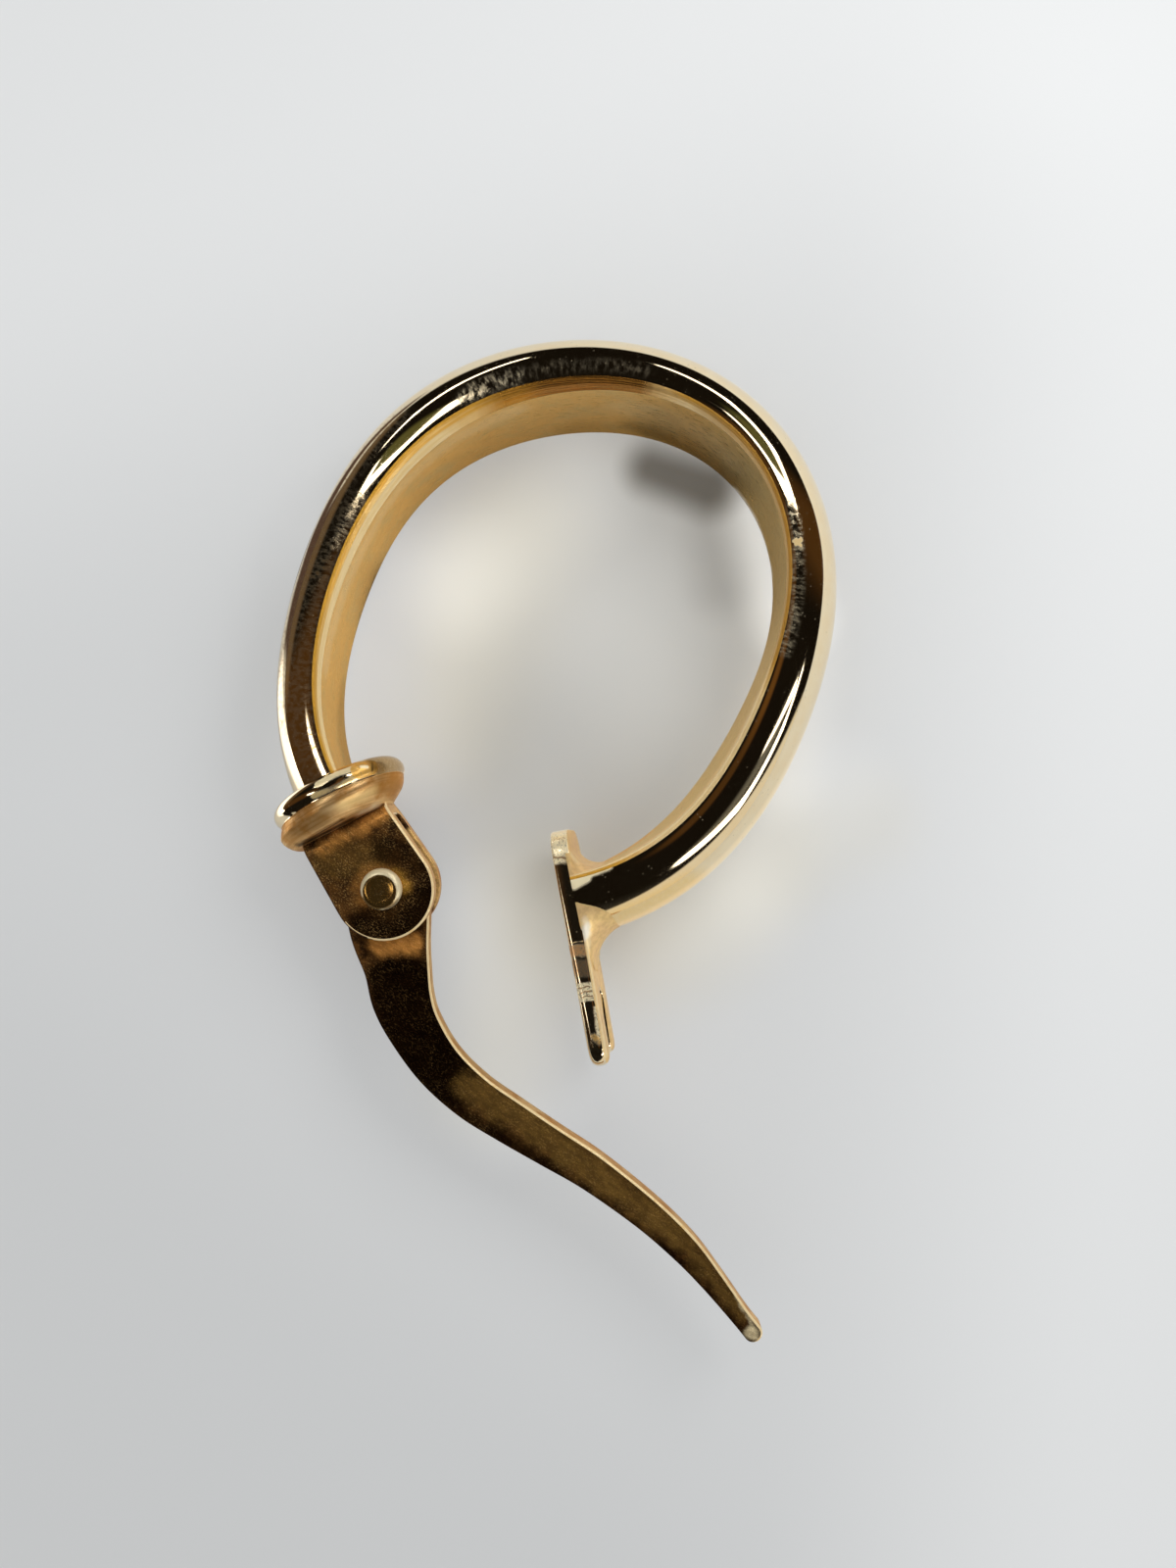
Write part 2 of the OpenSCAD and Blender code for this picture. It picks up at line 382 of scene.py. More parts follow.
def catchMatrix():
    place = Matrix.Translation(Vector((*catchFork["place"], 0)) * mm)
    turn = Matrix.Rotation(math.radians(catchFork["angle"]), 4, "Z")
    rise = Matrix.Rotation(math.radians(-catchFork["rise"]), 4, "Y")
    lean = Matrix.Rotation(math.radians(catchFork["lean"] + 90), 4, "X")
    return hoopMatrix @ place @ turn @ rise @ lean


def forkOutline():
    # The slot keeps level while the plate rises, so the two prongs differ in width
    half, side = catchFork["length"] / 2, catchFork["width"] / 2
    corner, slot = catchFork["corner"], catchFork["slotWidth"] / 2
    root = half - catchFork["slotLength"] + slot
    drop = math.tan(math.radians(catchFork["rise"]))
    mouth = half * drop
    low, high = (side - slot - mouth) / 2, (side - slot + mouth) / 2
    cornerSteps, prongSteps = catchFork["cornerSteps"], catchFork["prongSteps"]
    outline = arcPoints((corner - half, corner - side), corner, 180, 270, cornerSteps)
    outline += arcPoints((half - low, low - side), low, -90, 90, prongSteps)
    slotEdge = arcPoints((root, 0), slot, 270, 90, catchFork["slotSteps"])
    outline += [Vector((point.x, point.y - point.x * drop)) for point in slotEdge]
    outline += arcPoints((half - high, side - high), high, -90, 90, prongSteps)
    return outline + arcPoints((corner - half, side - corner), corner, 90, 180, cornerSteps)


def makeCatchFork():
    # The outline is swept round its own edge, and then the two faces are closed
    outline = forkOutline()
    count, steps = len(outline), catchFork["edgeSteps"]
    half = catchFork["thickness"] / 2

    def point(i, j):
        here = outline[i % count]
        ahead = (outline[(i + 1) % count] - outline[i - 1]).normalized()
        blend = easeIn(here.x, catchFork["endsFrom"], catchFork["endsTo"])
        radius = catchFork["edge"] * (catchFork["thinEdge"] + (1 - catchFork["thinEdge"]) * blend)
        turn = math.pi / 2 * (j if j <= steps else 2 * steps + 1 - j) / steps
        inset = radius * (1 - math.sin(turn))
        height = half - radius * (1 - math.cos(turn))
        return here.x - ahead.y * inset, here.y + ahead.x * inset, -height if j <= steps else height

    fork = gridOver("catch_fork", count, 2 * steps + 1, point)
    seal(fork)
    for face in fork.data.polygons:
        face.material_index = 1 if face.normal.z < catchFork["backFacing"] else 0
    smooth(fork)
    put(fork, catchMatrix())
    return fork


catch = makeCatchFork()
print("catch is modelled")

# The solder flows from the band out onto the catch plate
solder = {"innerRadius": 0.85, "outerRadius": 1.05, "sink": 0.01, "squash": 0.985,
          "insideTo": 0.4, "reach": 13, "rings": 34, "fadeFrom": 1.05, "fadeTo": 1.75, "smooth": 50}


def flare(distance, radius):
    if distance >= radius:
        return 0
    distance = max(distance, 0)
    return radius - math.sqrt(radius ** 2 - (radius - distance) ** 2)


def makeSolder():
    rings = solder["rings"]
    normalAngle = catchFork["angle"] + 90
    faceNormal = turned(normalAngle, 1)
    faceAt = faceNormal.dot(Vector(catchFork["place"])) + catchFork["thickness"] / 2
    leanSlope = math.tan(math.radians(catchFork["lean"]))
    sections = [bandSection(ovalBand["end"] + solder["reach"] * i / rings) for i in range(rings + 1)]
    count = len(sections[0])

    def point(i, j):
        angle = ovalBand["end"] + solder["reach"] * i / rings
        section = sections[i][j % count]
        place = bandPlace(angle, section)
        distance = faceNormal.dot(place.xy) - faceAt + leanSlope * place.z
        inside = section.x < solder["insideTo"]
        radius = solder["innerRadius"] if inside else solder["outerRadius"]
        share = easeIn(-abs(section.y), -solder["fadeTo"], -solder["fadeFrom"])
        spread = flare(distance, radius) * share - solder["sink"]
        side = -1 if inside else 1
        return bandPlace(angle, Vector((section.x + side * spread, section.y * solder["squash"])))

    sleeve = gridOver("solder", rings, count, point)
    seal(sleeve)
    smooth(sleeve, solder["smooth"])
    put(sleeve, hoopMatrix)
    return sleeve


solderPiece = makeSolder()
print("solder is modelled")

# The collar: a round rim, and a brushed seat that narrows towards the yoke
collar = {
    "rimRadius": 1.97,
    "rimRound": 0.32,
    "rimSteps": 15,
    "groove": ((1.875, 0.25), (1.86, 0.28), (1.875, 0.32)),      # radius, height
    "seat": ((1.88, 0.42), (1.86, 0.54), (1.78, 0.64), (1.68, 0.74), (1.58, 0.84), (1.5, 0.91), (1.4, 0.96)),
    "seatShift": 0.32,
    "shiftFrom": 0.15,
    "shiftTo": 0.85,
    "lean": 7,
    "steps": 144,
    "smooth": 30,
    "faceRadii": (1.2, 0.8, 0.4, 0.0),
}


def spinProfile(name, profile, steps, shiftAt=lambda height: 0):
    # A round piece from (radius, height) corners
    def point(i, j):
        radius, height = profile[j]
        place = turned(360 * i / steps, radius)
        return place.x, place.y - shiftAt(height), height

    return gridOver(name, steps, len(profile) - 1, point)


def collarMatrix():
    return hingeMatrix() @ Matrix.Rotation(math.radians(90 - collar["lean"]), 4, "Y")


def collarProfile():
    # From the middle of the back round the rim to the middle of the face
    half = collar["rimRound"]
    middle = collar["rimRadius"] - half
    back = [(radius, -half) for radius in reversed(collar["faceRadii"])]
    rim = [(middle + p.x, p.y) for p in arcPoints((0, 0), half, -90, 45, collar["rimSteps"])]
    top = collar["seat"][-1][1]
    face = [(radius, top) for radius in collar["faceRadii"]]
    return back + rim + list(collar["groove"]) + list(collar["seat"]) + face, len(back) + len(rim)


def makeCollar():
    profile, rimRows = collarProfile()

    def shiftAt(height):
        return collar["seatShift"] * easeIn(height, collar["shiftFrom"], collar["shiftTo"])

    piece = spinProfile("collar", profile, collar["steps"], shiftAt)
    for face, row in facesWithRows(piece, len(profile) - 1):
        face.material_index = 1 if row > rimRows else 0
    weldAndTurnOut(piece)
    smooth(piece, collar["smooth"])
    put(piece, collarMatrix())
    return piece


collarPiece = makeCollar()
print("collar is modelled")

# The hinge yoke: one strip bent to a U, with a tongue on each side of the post
yoke = {
    "webAt": 0.74,
    "baseAt": 0.94,
    "baseShift": 0.17,
    "baseWidth": 2.64,
    "endAt": (3.0, 0.01),
    "endRadius": 1.42,
    "thickness": 0.5,
    "gap": 0.7,
    "bend": 0.53,
    "bendSteps": 10,
    "sideSteps": 30,
    "endSteps": 14,
    "acrossSteps": 20,
    "edge": 0.065,
    "leastRight": -0.15,     # how far an edge may face away from the picture's right and still take the painted edge highlight
}


def tangentPoint(point, centre, radius, side):
    away = Vector(point) - Vector(centre)
    angle = math.degrees(math.atan2(away.y, away.x) + side * math.acos(radius / away.length))
    return Vector(centre) + turned(angle, radius)


def tongueEdges(reach):
    # The two edges of the tongue at a distance from the collar's middle
    middle, radius = Vector(yoke["endAt"]), yoke["endRadius"]
    edges = []
    for side in (-1, 1):
        base = Vector((yoke["baseAt"], -yoke["baseShift"] + side * yoke["baseWidth"] / 2))
        touch = tangentPoint(base, middle, radius, -side)
        if reach <= base.x:
            edges.append(base.y)
        elif reach <= touch.x:
            edges.append(base.y + (touch.y - base.y) * (reach - base.x) / (touch.x - base.x))
        else:
            edges.append(middle.y + side * math.sqrt(max(radius ** 2 - (reach - middle.x) ** 2, 0)))
    return edges


def yokePath():
    # (reach, height) along the U, from one tip round the web to the other
    top = yoke["gap"] / 2 + yoke["thickness"]
    bend = yoke["bend"]
    middle, radius = yoke["endAt"][0], yoke["endRadius"]
    turns = [90 * (1 - k / yoke["endSteps"]) for k in range(yoke["endSteps"])]
    side = [Vector((middle + radius * math.sin(math.radians(turn)), top)) for turn in turns]
    bendAt = yoke["webAt"] + bend
    steps = yoke["sideSteps"]
    side += [Vector((middle + (bendAt - middle) * k / steps, top)) for k in range(steps + 1)]
    side += arcPoints((bendAt, top - bend), bend, 90, 180, yoke["bendSteps"])[1:]
    return side + [Vector((point.x, -point.y)) for point in reversed(side)]


def makeYoke():
    path = yokePath()
    middle, radius = Vector(yoke["endAt"]), yoke["endRadius"]
    loop = stripLoop(yoke["edge"], yoke["thickness"], yoke["acrossSteps"])

    def point(i, share, inset, depth):
        here = path[i]
        ahead = path[min(i + 1, len(path) - 1)] - path[max(i - 1, 0)]
        outward = Vector((ahead.y, -ahead.x)).normalized()
        if here.x > middle.x:
            outward = Vector((0, math.copysign(1, here.y)))
        low, high = tongueEdges(here.x)
        if here.x > middle.x:
            shrink = (radius - inset) / radius
            reach = middle.x + (here.x - middle.x) * shrink
            across = middle.y + share * (high - low) / 2 * shrink
        else:
            reach = here.x
            across = (low + high) / 2 + share * ((high - low) / 2 - inset)
        return reach - outward.x * depth, across, here.y - outward.y * depth

    piece = sweepStrip("hinge_yoke", loop, len(path) - 1, point)
    smooth(piece)
    put(piece, hingeMatrix())
    keepRightEdges(piece, yoke["leastRight"])
    return piece


yokePiece = makeYoke()
print("yoke is modelled")

# The rivet: a shaft with a flat, slightly dished head on each ear
rivet = {
    "radius": 0.4,
    "headRadius": 0.58,
    "headHeight": 0.26,
    "headRound": 0.2,
    "dish": ((0.0, 0.03), (0.14, 0.029), (0.25, 0.024), (0.32, 0.014), (0.36, 0.0)),        # radius, depth
    "gap": 0.02,
    "underside": 0.03,
    "headSteps": 10,
    "steps": 64,
    "smooth": 50,
}


def makeRivet():
    half = yoke["gap"] / 2 + yoke["thickness"] + rivet["gap"]
    top, corner = half + rivet["headHeight"], rivet["headRound"]
    head = [(radius, top - depth) for radius, depth in rivet["dish"]]
    middle = (rivet["headRadius"] - corner, top - corner)
    head += [(p.x, p.y) for p in arcPoints(middle, corner, 90, 0, rivet["headSteps"])]
    side = head + [(rivet["headRadius"], half + rivet["underside"]), (rivet["radius"], half)]
    piece = spinProfile("rivet_pin", side + [(x, -z) for x, z in reversed(side)], rivet["steps"])
    weldAndTurnOut(piece)
    smooth(piece, rivet["smooth"])
    put(piece, Matrix.Translation(rivetMiddle))
    return piece


rivetPiece = makeRivet()
print("rivet is modelled")

# The ear post: a flat blade in an S curve, from its heel round the rivet to its tip
earPost = {
    "thickness": 0.6,
    "sections": (        # x, y and width, in mm from the rivet
        (0.00, 0.00, 2.50), (-0.80, 0.98, 2.25), (-1.55, 1.73, 1.87), (-2.18, 2.39, 1.73),
        (-2.94, 2.89, 1.54), (-4.09, 3.36, 1.41), (-5.36, 3.57, 1.34), (-6.63, 3.56, 1.27),
        (-7.95, 3.51, 1.17), (-9.43, 3.45, 1.07), (-11.31, 3.55, 0.95), (-12.76, 3.77, 0.85),
        (-13.94, 4.09, 0.69), (-15.14, 4.48, 0.55), (-15.72, 4.66, 0.54)),
    "stepsPerSection": 14,
    "heelSteps": 16,
    "tipSteps": 10,
    "acrossSteps": 12,
    "edge": 0.06,
    "leastRight": 0.1,
    "boreRadius": 0.44,
    "boreSteps": 48,
}


def postRow(i):
    rows = earPost["sections"]
    return Vector(rows[min(max(i, 0), len(rows) - 1)])


def postAt(i, t):
    before, start, end, after = postRow(i - 1), postRow(i), postRow(i + 1), postRow(i + 2)
    return 0.5 * (2 * start + (end - before) * t
                  + (2 * before - 5 * start + 4 * end - after) * t ** 2
                  + (3 * start - before - 3 * end + after) * t ** 3)


def postStations():
    # Middle, sideways direction and half width of the blade, from heel to tip
    steps = earPost["stepsPerSection"]
    last = len(earPost["sections"]) - 1
    line = [postAt(i, k / steps) for i in range(last) for k in range(steps)] + [postRow(last)]
    sides = []
    for k in range(len(line)):
        ahead = line[min(k + 1, len(line) - 1)] - line[max(k - 1, 0)]
        sides.append(Vector((-ahead.y, ahead.x)).normalized())
    body = [(row.xy, side, row.z / 2) for row, side in zip(line, sides)]

    def roundEnd(station, steps, sign):
        # Stations of the round end: how far forward, and how wide, as shares of its radius
        middle, side, radius = station
        forward = Vector((side.y, -side.x)) * sign
        turns = [math.pi / 2 * k / steps for k in range(1, steps + 1)]
        return [(middle, side * math.cos(t), radius, forward * math.sin(t)) for t in turns]

    heel = roundEnd(body[0], earPost["heelSteps"], -1)
    tip = roundEnd(body[-1], earPost["tipSteps"], 1)
    straight = [(*station, Vector((0, 0))) for station in body]
    return list(reversed(heel)) + straight + tip


def makePost():
    stations = postStations()
    top = earPost["thickness"] / 2
    loop = stripLoop(earPost["edge"], earPost["thickness"], earPost["acrossSteps"])

    def point(i, share, inset, depth):
        middle, side, half, forward = stations[i]
        place = middle + (forward + side * share) * (half - inset)
        return place.x, place.y, top - depth

    piece = sweepStrip("post_blade", loop, len(stations) - 1, point)
    deselectAll()
    bpy.ops.mesh.primitive_cylinder_add(vertices=earPost["boreSteps"], radius=earPost["boreRadius"] * mm,
                                        depth=4 * earPost["thickness"] * mm)
    cutWith(piece, bpy.context.object)
    weldAndTurnOut(piece)
    smooth(piece)
    put(piece, Matrix.Translation(rivetMiddle))
    keepRightEdges(piece, earPost["leastRight"])
    return piece


postPiece = makePost()
print("post is modelled")


# Node helpers
def link(tree, source, target):
    tree.links.new(source, target)


def feed(tree, socket, value):
    # A socket takes a constant, the name of a tone, or another node's output
    if isinstance(value, bpy.types.NodeSocket):
        link(tree, value, socket)
    elif value is not None:
        socket.default_value = goldTones[value] if isinstance(value, str) else value


def feedAll(tree, sockets, values):
    for socket, value in zip(sockets, values):
        feed(tree, socket, value)


def addNode(tree, kind, inputs=(), **settings):
    node = tree.nodes.new(kind)
    for name, value in settings.items():
        setattr(node, name, value)
    for label, value in dict(inputs).items():
        feed(tree, node.inputs[label], value)
    return node


def mathNode(tree, operation, *values):
    node = addNode(tree, "ShaderNodeMath", operation=operation)
    feedAll(tree, node.inputs, values)
    return node.outputs[0]


def times(tree, first, second):
    return mathNode(tree, "MULTIPLY", first, second)


def vectorNode(tree, operation, *values):
    node = addNode(tree, "ShaderNodeVectorMath", operation=operation)
    second = node.inputs["Scale"] if operation == "SCALE" else node.inputs[1]
    feedAll(tree, (node.inputs[0], second, node.inputs[2]), values)
    return node.outputs["Value"] if operation in ("DOT_PRODUCT", "LENGTH") else node.outputs["Vector"]


def rangeNode(tree, value, lowIn, highIn, lowOut=0, highOut=1, kind="SMOOTHSTEP"):
    node = addNode(tree, "ShaderNodeMapRange", interpolation_type=kind)
    feedAll(tree, node.inputs, (value, lowIn, highIn, lowOut, highOut))
    return node.outputs[0]


def mixColor(tree, share, first, second):
    node = addNode(tree, "ShaderNodeMix", data_type="RGBA")
    feedAll(tree, (node.inputs[0], node.inputs[6], node.inputs[7]), (share, first, second))
    return node.outputs[2]


def newGroup(name, ins, outs):
    # The group, the values given to it and the sockets that take what it makes
    group = bpy.data.node_groups.new(name, "ShaderNodeTree")
    for way, labels in (("INPUT", ins), ("OUTPUT", outs)):
        for label in labels:
            kind = "NodeSocketVector" if label in ("Point", "From", "To", "Vector") else "NodeSocketFloat"
            group.interface.new_socket(label, in_out=way, socket_type=kind)
    return group, group.nodes.new("NodeGroupInput").outputs, group.nodes.new("NodeGroupOutput").inputs


def placeGroup(tree, group, **values):
    return addNode(tree, "ShaderNodeGroup", values, node_tree=group)


def mapped(tree, source, **values):
    # Coordinates of one kind, turned or scaled
    coords = addNode(tree, "ShaderNodeTexCoord")
    mapping = addNode(tree, "ShaderNodeMapping", {"Vector": coords.outputs[source], **values})
    return mapping.outputs["Vector"]


def startMaterial(name, values):
    # A material with these constants on its shader
    material = bpy.data.materials.new(name)
    material.use_nodes = True
    tree = material.node_tree
    shader = tree.nodes["Principled BSDF"]
    for label, value in values.items():
        feed(tree, shader.inputs[label], value)
    return material, tree, shader


# The soft studio, as the polished gold sees it: a dark room with bright windows and a glow low down.
# A strip of light runs between two points; right and up are degrees from overhead in the picture's frame.
studio = {
    "turn": 146,               # degrees, so that right and up are the picture's own
    "paper": {"Color": (0.98, 0.99, 1.0, 1), "Strength": 0.62},        # what the camera sees past the floor
    "dark": (0.006, 0.0045, 0.003),
    "tones": {
        "window": (4.2, 4.1, 4.0),
        "glow": (0.72, 0.68, 0.60),
        "glint": (0.13, 0.13, 0.12),
        "olive": (0.09, 0.09, 0.03),
        "brown": (0.11, 0.075, 0.045),
        "umber": (0.055, 0.024, 0.005),
    },
    "strips": (                # tone, softness, and a chain of (right, up, half width)
        ("window", 1.6, (-39, 29, 0.6), (-32, 26, 1.5), (-22, 23.5, 2.0), (-20, 31, 1.6)),
        ("window", 2.0, (-20, 31, 1.6), (-22, 41, 0.7)),
        ("window", 1.6, (-40, 31, 0.7), (-42, 37, 0.2)),
        ("olive", 8.0, (-35, 36, 4.0), (-29, 35, 4.0)),
        ("window", 1.2, (-51, 52, 0.2), (-45, 63, 0.9), (-36, 73, 0.9), (-18, 87, 0.3)),
        ("window", 1.6, (18, 75, 0.3), (38, 62, 1.9)),
        ("window", 1.8, (38, 62, 1.9), (50, 46, 2.6), (47, 27, 2.0)),
        ("window", 2.0, (47, 27, 2.0), (30, 24, 2.4), (22, 35, 0.5)),
        ("olive", 9.0, (35, 40, 4.0), (40, 33, 4.0)),
        ("window", 1.6, (76, -13, 0.3), (72, -24, 1.3)),
        ("window", 2.0, (72, -24, 1.3), (59, -40, 2.6)),
        ("window", 2.5, (59, -40, 2.6), (37, -48, 2.8)),
        ("window", 1.6, (69, -16, 1.1), (52, -22, 0.3)),
        ("glint", 8.0, (60, -22, 0.5), (39, -43, 0.5)),
        ("window", 2.0, (-94, -34, 5.0), (-110, -10, 4.0)),
        ("window", 3.0, (-28, -10, 3.0), (-37, -5, 1.6)),
        ("glow", 4.0, (110, -40, 23.0), (25, -110, 24.0)),
        ("brown", 12.0, (-100, 15, 6.0), (-75, 80, 6.0)),
        ("umber", 18.0, (-88, -8, 12.0), (-36, -1, 7.0)),
        ("umber", 20.0, (58, 25, 4.0), (88, 28, 8.0)),
        ("umber", 6.0, (15, 20, 3.0), (21, -2, 3.0)),
        ("umber", 5.0, (20, -5, 3.0), (12, -13, 3.0)),
    ),
}


def makeStripGroup():
    ins = ("Point", "From", "To", "Half From", "Half To", "Softness")
    group, given, made = newGroup("lightStrip", ins, ("Mask",))
    here = vectorNode(group, "SUBTRACT", given["Point"], given["From"])
    along = vectorNode(group, "SUBTRACT", given["To"], given["From"])
    share = mathNode(group, "DIVIDE", vectorNode(group, "DOT_PRODUCT", here, along),
                     vectorNode(group, "DOT_PRODUCT", along, along))
    share = rangeNode(group, share, 0, 1, 0, 1, "LINEAR")
    offset = vectorNode(group, "SUBTRACT", here, vectorNode(group, "SCALE", along, share))
    half = rangeNode(group, share, 0, 1, given["Half From"], given["Half To"], "LINEAR")
    edge = mathNode(group, "ADD", half, given["Softness"])
    link(group, rangeNode(group, vectorNode(group, "LENGTH", offset), half, edge, 1, 0), made["Mask"])
    return group


stripGroup = makeStripGroup()


def placeStrip(tree, point, start, end, halfFrom, halfTo, softness):
    # A strip between two places, flat ones or ones in space, with a half width at each end
    ends = {"From": (*start, 0)[:3], "To": (*end, 0)[:3], "Half From": halfFrom, "Half To": halfTo}
    return placeGroup(tree, stripGroup, Point=point, Softness=softness, **ends).outputs["Mask"]


def lightStudio():
    world = bpy.data.worlds.new("softStudio")
    scene.world = world
    world.use_nodes = True
    tree = world.node_tree
    tree.nodes.clear()
    direction = mapped(tree, "Generated", Rotation=(0, 0, math.radians(studio["turn"])))
    parts = addNode(tree, "ShaderNodeSeparateXYZ", {"Vector": direction})
    azimuth = mathNode(tree, "ARCTAN2", parts.outputs[1], parts.outputs[0])
    tilt = mathNode(tree, "DEGREES", mathNode(tree, "ARCCOSINE", parts.outputs[2]))
    chart = addNode(tree, "ShaderNodeCombineXYZ")
    link(tree, times(tree, tilt, mathNode(tree, "COSINE", azimuth)), chart.inputs[0])
    link(tree, times(tree, tilt, mathNode(tree, "SINE", azimuth)), chart.inputs[1])
    total = studio["dark"]
    for tone, softness, *chain in studio["strips"]:
        for (*start, first), (*end, last) in zip(chain, chain[1:]):
            mask = placeStrip(tree, chart.outputs[0], start, end, first, last, softness)
            total = vectorNode(tree, "MULTIPLY_ADD", mask, studio["tones"][tone], total)
    seen = addNode(tree, "ShaderNodeBackground", {"Color": total})
    paper = addNode(tree, "ShaderNodeBackground", studio["paper"])
    path = addNode(tree, "ShaderNodeLightPath")
    mix = addNode(tree, "ShaderNodeMixShader")
    feedAll(tree, mix.inputs, (path.outputs["Is Glossy Ray"], paper.outputs[0], seen.outputs[0]))
    addNode(tree, "ShaderNodeOutputWorld", {"Surface": mix.outputs[0]})


keyLight = {"azimuth": 50, "tilt": 45, "distance": 60, "size": 30, "energy": 0.012}


def pictureDirection(azimuth, tilt):
    turn = math.radians(azimuth - studio["turn"])
    lean = math.radians(tilt)
    return Vector((math.sin(lean) * math.cos(turn), math.sin(lean) * math.sin(turn), math.cos(lean)))


def addKeyLight():
    toLight = pictureDirection(keyLight["azimuth"], keyLight["tilt"])
    place = toLight * keyLight["distance"] * mm
    bpy.ops.object.light_add(type="AREA", location=place)
    lamp = bpy.context.object
    lamp.name = "keyLight"
    lamp.rotation_euler = toLight.to_track_quat("Z", "Y").to_euler()
    lamp.data.size = keyLight["size"] * mm
    lamp.data.energy = keyLight["energy"]
    lamp.visible_glossy = False


# The pale floor. It ends in an ellipse, so that the gold sees the dim room past it. It carries painted light
# and shadow:
# a painted warm glow where the gold throws light on it, painted shadow inside the loop, brighter and darker
# painted patches, and painted light and shade that only the gold sees in its reflections. Places are mm in
# the picture's frame.
floorSheet = {
    "radius": 36,
    "corners": 96,
    "color": (0.80, 0.81, 0.81),
    "finish": {"Roughness": 0.95, "Specular IOR Level": 0.1, "Emission Strength": 1},
    "middle": (4, -8),
    "halves": (29, 34),
    "fade": (0.93, 1.07),
    "gain": 1.05,                    # how much paler the gold sees it
    "shine": (        # painted light that only the gold sees, where, and by how much
        ((-26, -7), (-15.0, 2.0), 4.0, 1.8, 1.6, 1.0), ((-2, 3), (1, -1), 4.5, 4.5, 2.5, 0.12)),
    "shineTint": (1.1, 1.1, 1.15),
    "even": 0.6,                    # share of the light that casts shadows
    "glow": 0.265,
    # painted light: brighter patches on the floor, and painted shade where the amount is negative
    "paintedLightAndShade": (
        ((18, 20), (20, -24), 1.0, 5.0, 12.0, 0.13), ((-24, 22), (4, 28), 6.0, 3.0, 15.0, 0.13),
        ((-20, -14), (-10, -28), 3.0, 8.0, 12.0, -0.05), ((4.0, 8.4), (5.0, 5.2), 0.1, 0.1, 1.7, 0.36),
        ((5.0, 5.2), (4.7, 0.5), 0.1, 0.1, 2.0, 0.14), ((-6.3, 1.6), (-5.2, 6.4), 0.1, 0.1, 2.8, 0.09),
        ((-5.2, 6.4), (-1.6, 9.4), 0.1, 0.1, 2.8, 0.15), ((-3.0, 1.0), (-1.0, -1.2), 0.4, 0.4, 5.0, -0.15),
        ((-9.4, 0.5), (-8.6, 7.0), 0.3, 0.3, 2.4, 0.10), ((-3.9, -4.2), (-3.5, -9.4), 0.1, 0.1, 2.8, 0.14),
        ((1.0, -3.8), (3.6, -3.6), 0.1, 0.1, 2.4, 0.07), ((3.6, -2.6), (6.4, 0.2), 0.1, 0.1, 2.2, 0.06)),
    # painted shadow inside the loop, and its tint
    "shades": (((0.7, 9.8), (2.5, 9.2), 0.1, 0.2, 1.2, 0.82), ((2.7, 8.4), (2.8, 6.2), 0.1, 0.0, 1.5, 0.22)),
    "shadeTint": (0.14, 0.12, 0.09),
    # painted warm light that the gold throws on the floor, and its tint
    "paintedWarmLightTint": (0.84, 0.72, 0.40),
    "warm": (
        ((-0.8, 5.6), (0.4, -1.5), 4.6, 4.2, 2.2, 0.11), ((-5.4, 2.0), (-3.4, 7.8), 0.1, 0.2, 3.2, 0.15),
        ((-2.6, -3.2), (-4.2, -8.6), 0.2, 0.1, 3.0, 0.16), ((1.0, -4.2), (7.4, -1.0), 0.1, 0.1, 2.4, 0.10)),
    # painted shade that only the gold sees on the floor, in its reflections, and its tint
    "murk": (((-9.6, 3.8), (-9.1, 6.6), 0.3, 1.35, 0.8), ((-12.4, 9.2), (-12.6, 12.6), 0.9, 1.0, 1.2),
             ((-12.6, 12.6), (-11.0, 17.0), 0.9, 0.6, 1.5),
             ((-15.5, 8.4), (-34, 17), 2.6, 12.0, 1.8), ((27, 14), (60, 5), 5.0, 11.0, 2.0)),
    "reflectedShadeTint": (0.10, 0.06, 0.05),
}


def floorColor(tree, point):
    # The floor's colour, with painted warm light and painted shadow mixed in
    color = floorSheet["color"] + (1,)
    for paintedLayer, tint in (("warm", "paintedWarmLightTint"), ("shades", "shadeTint")):
        for *strip, share in floorSheet[paintedLayer]:
            mask = times(tree, placeStrip(tree, point, *strip), share)
            color = mixColor(tree, mask, color, floorSheet[tint] + (1,))
    return color


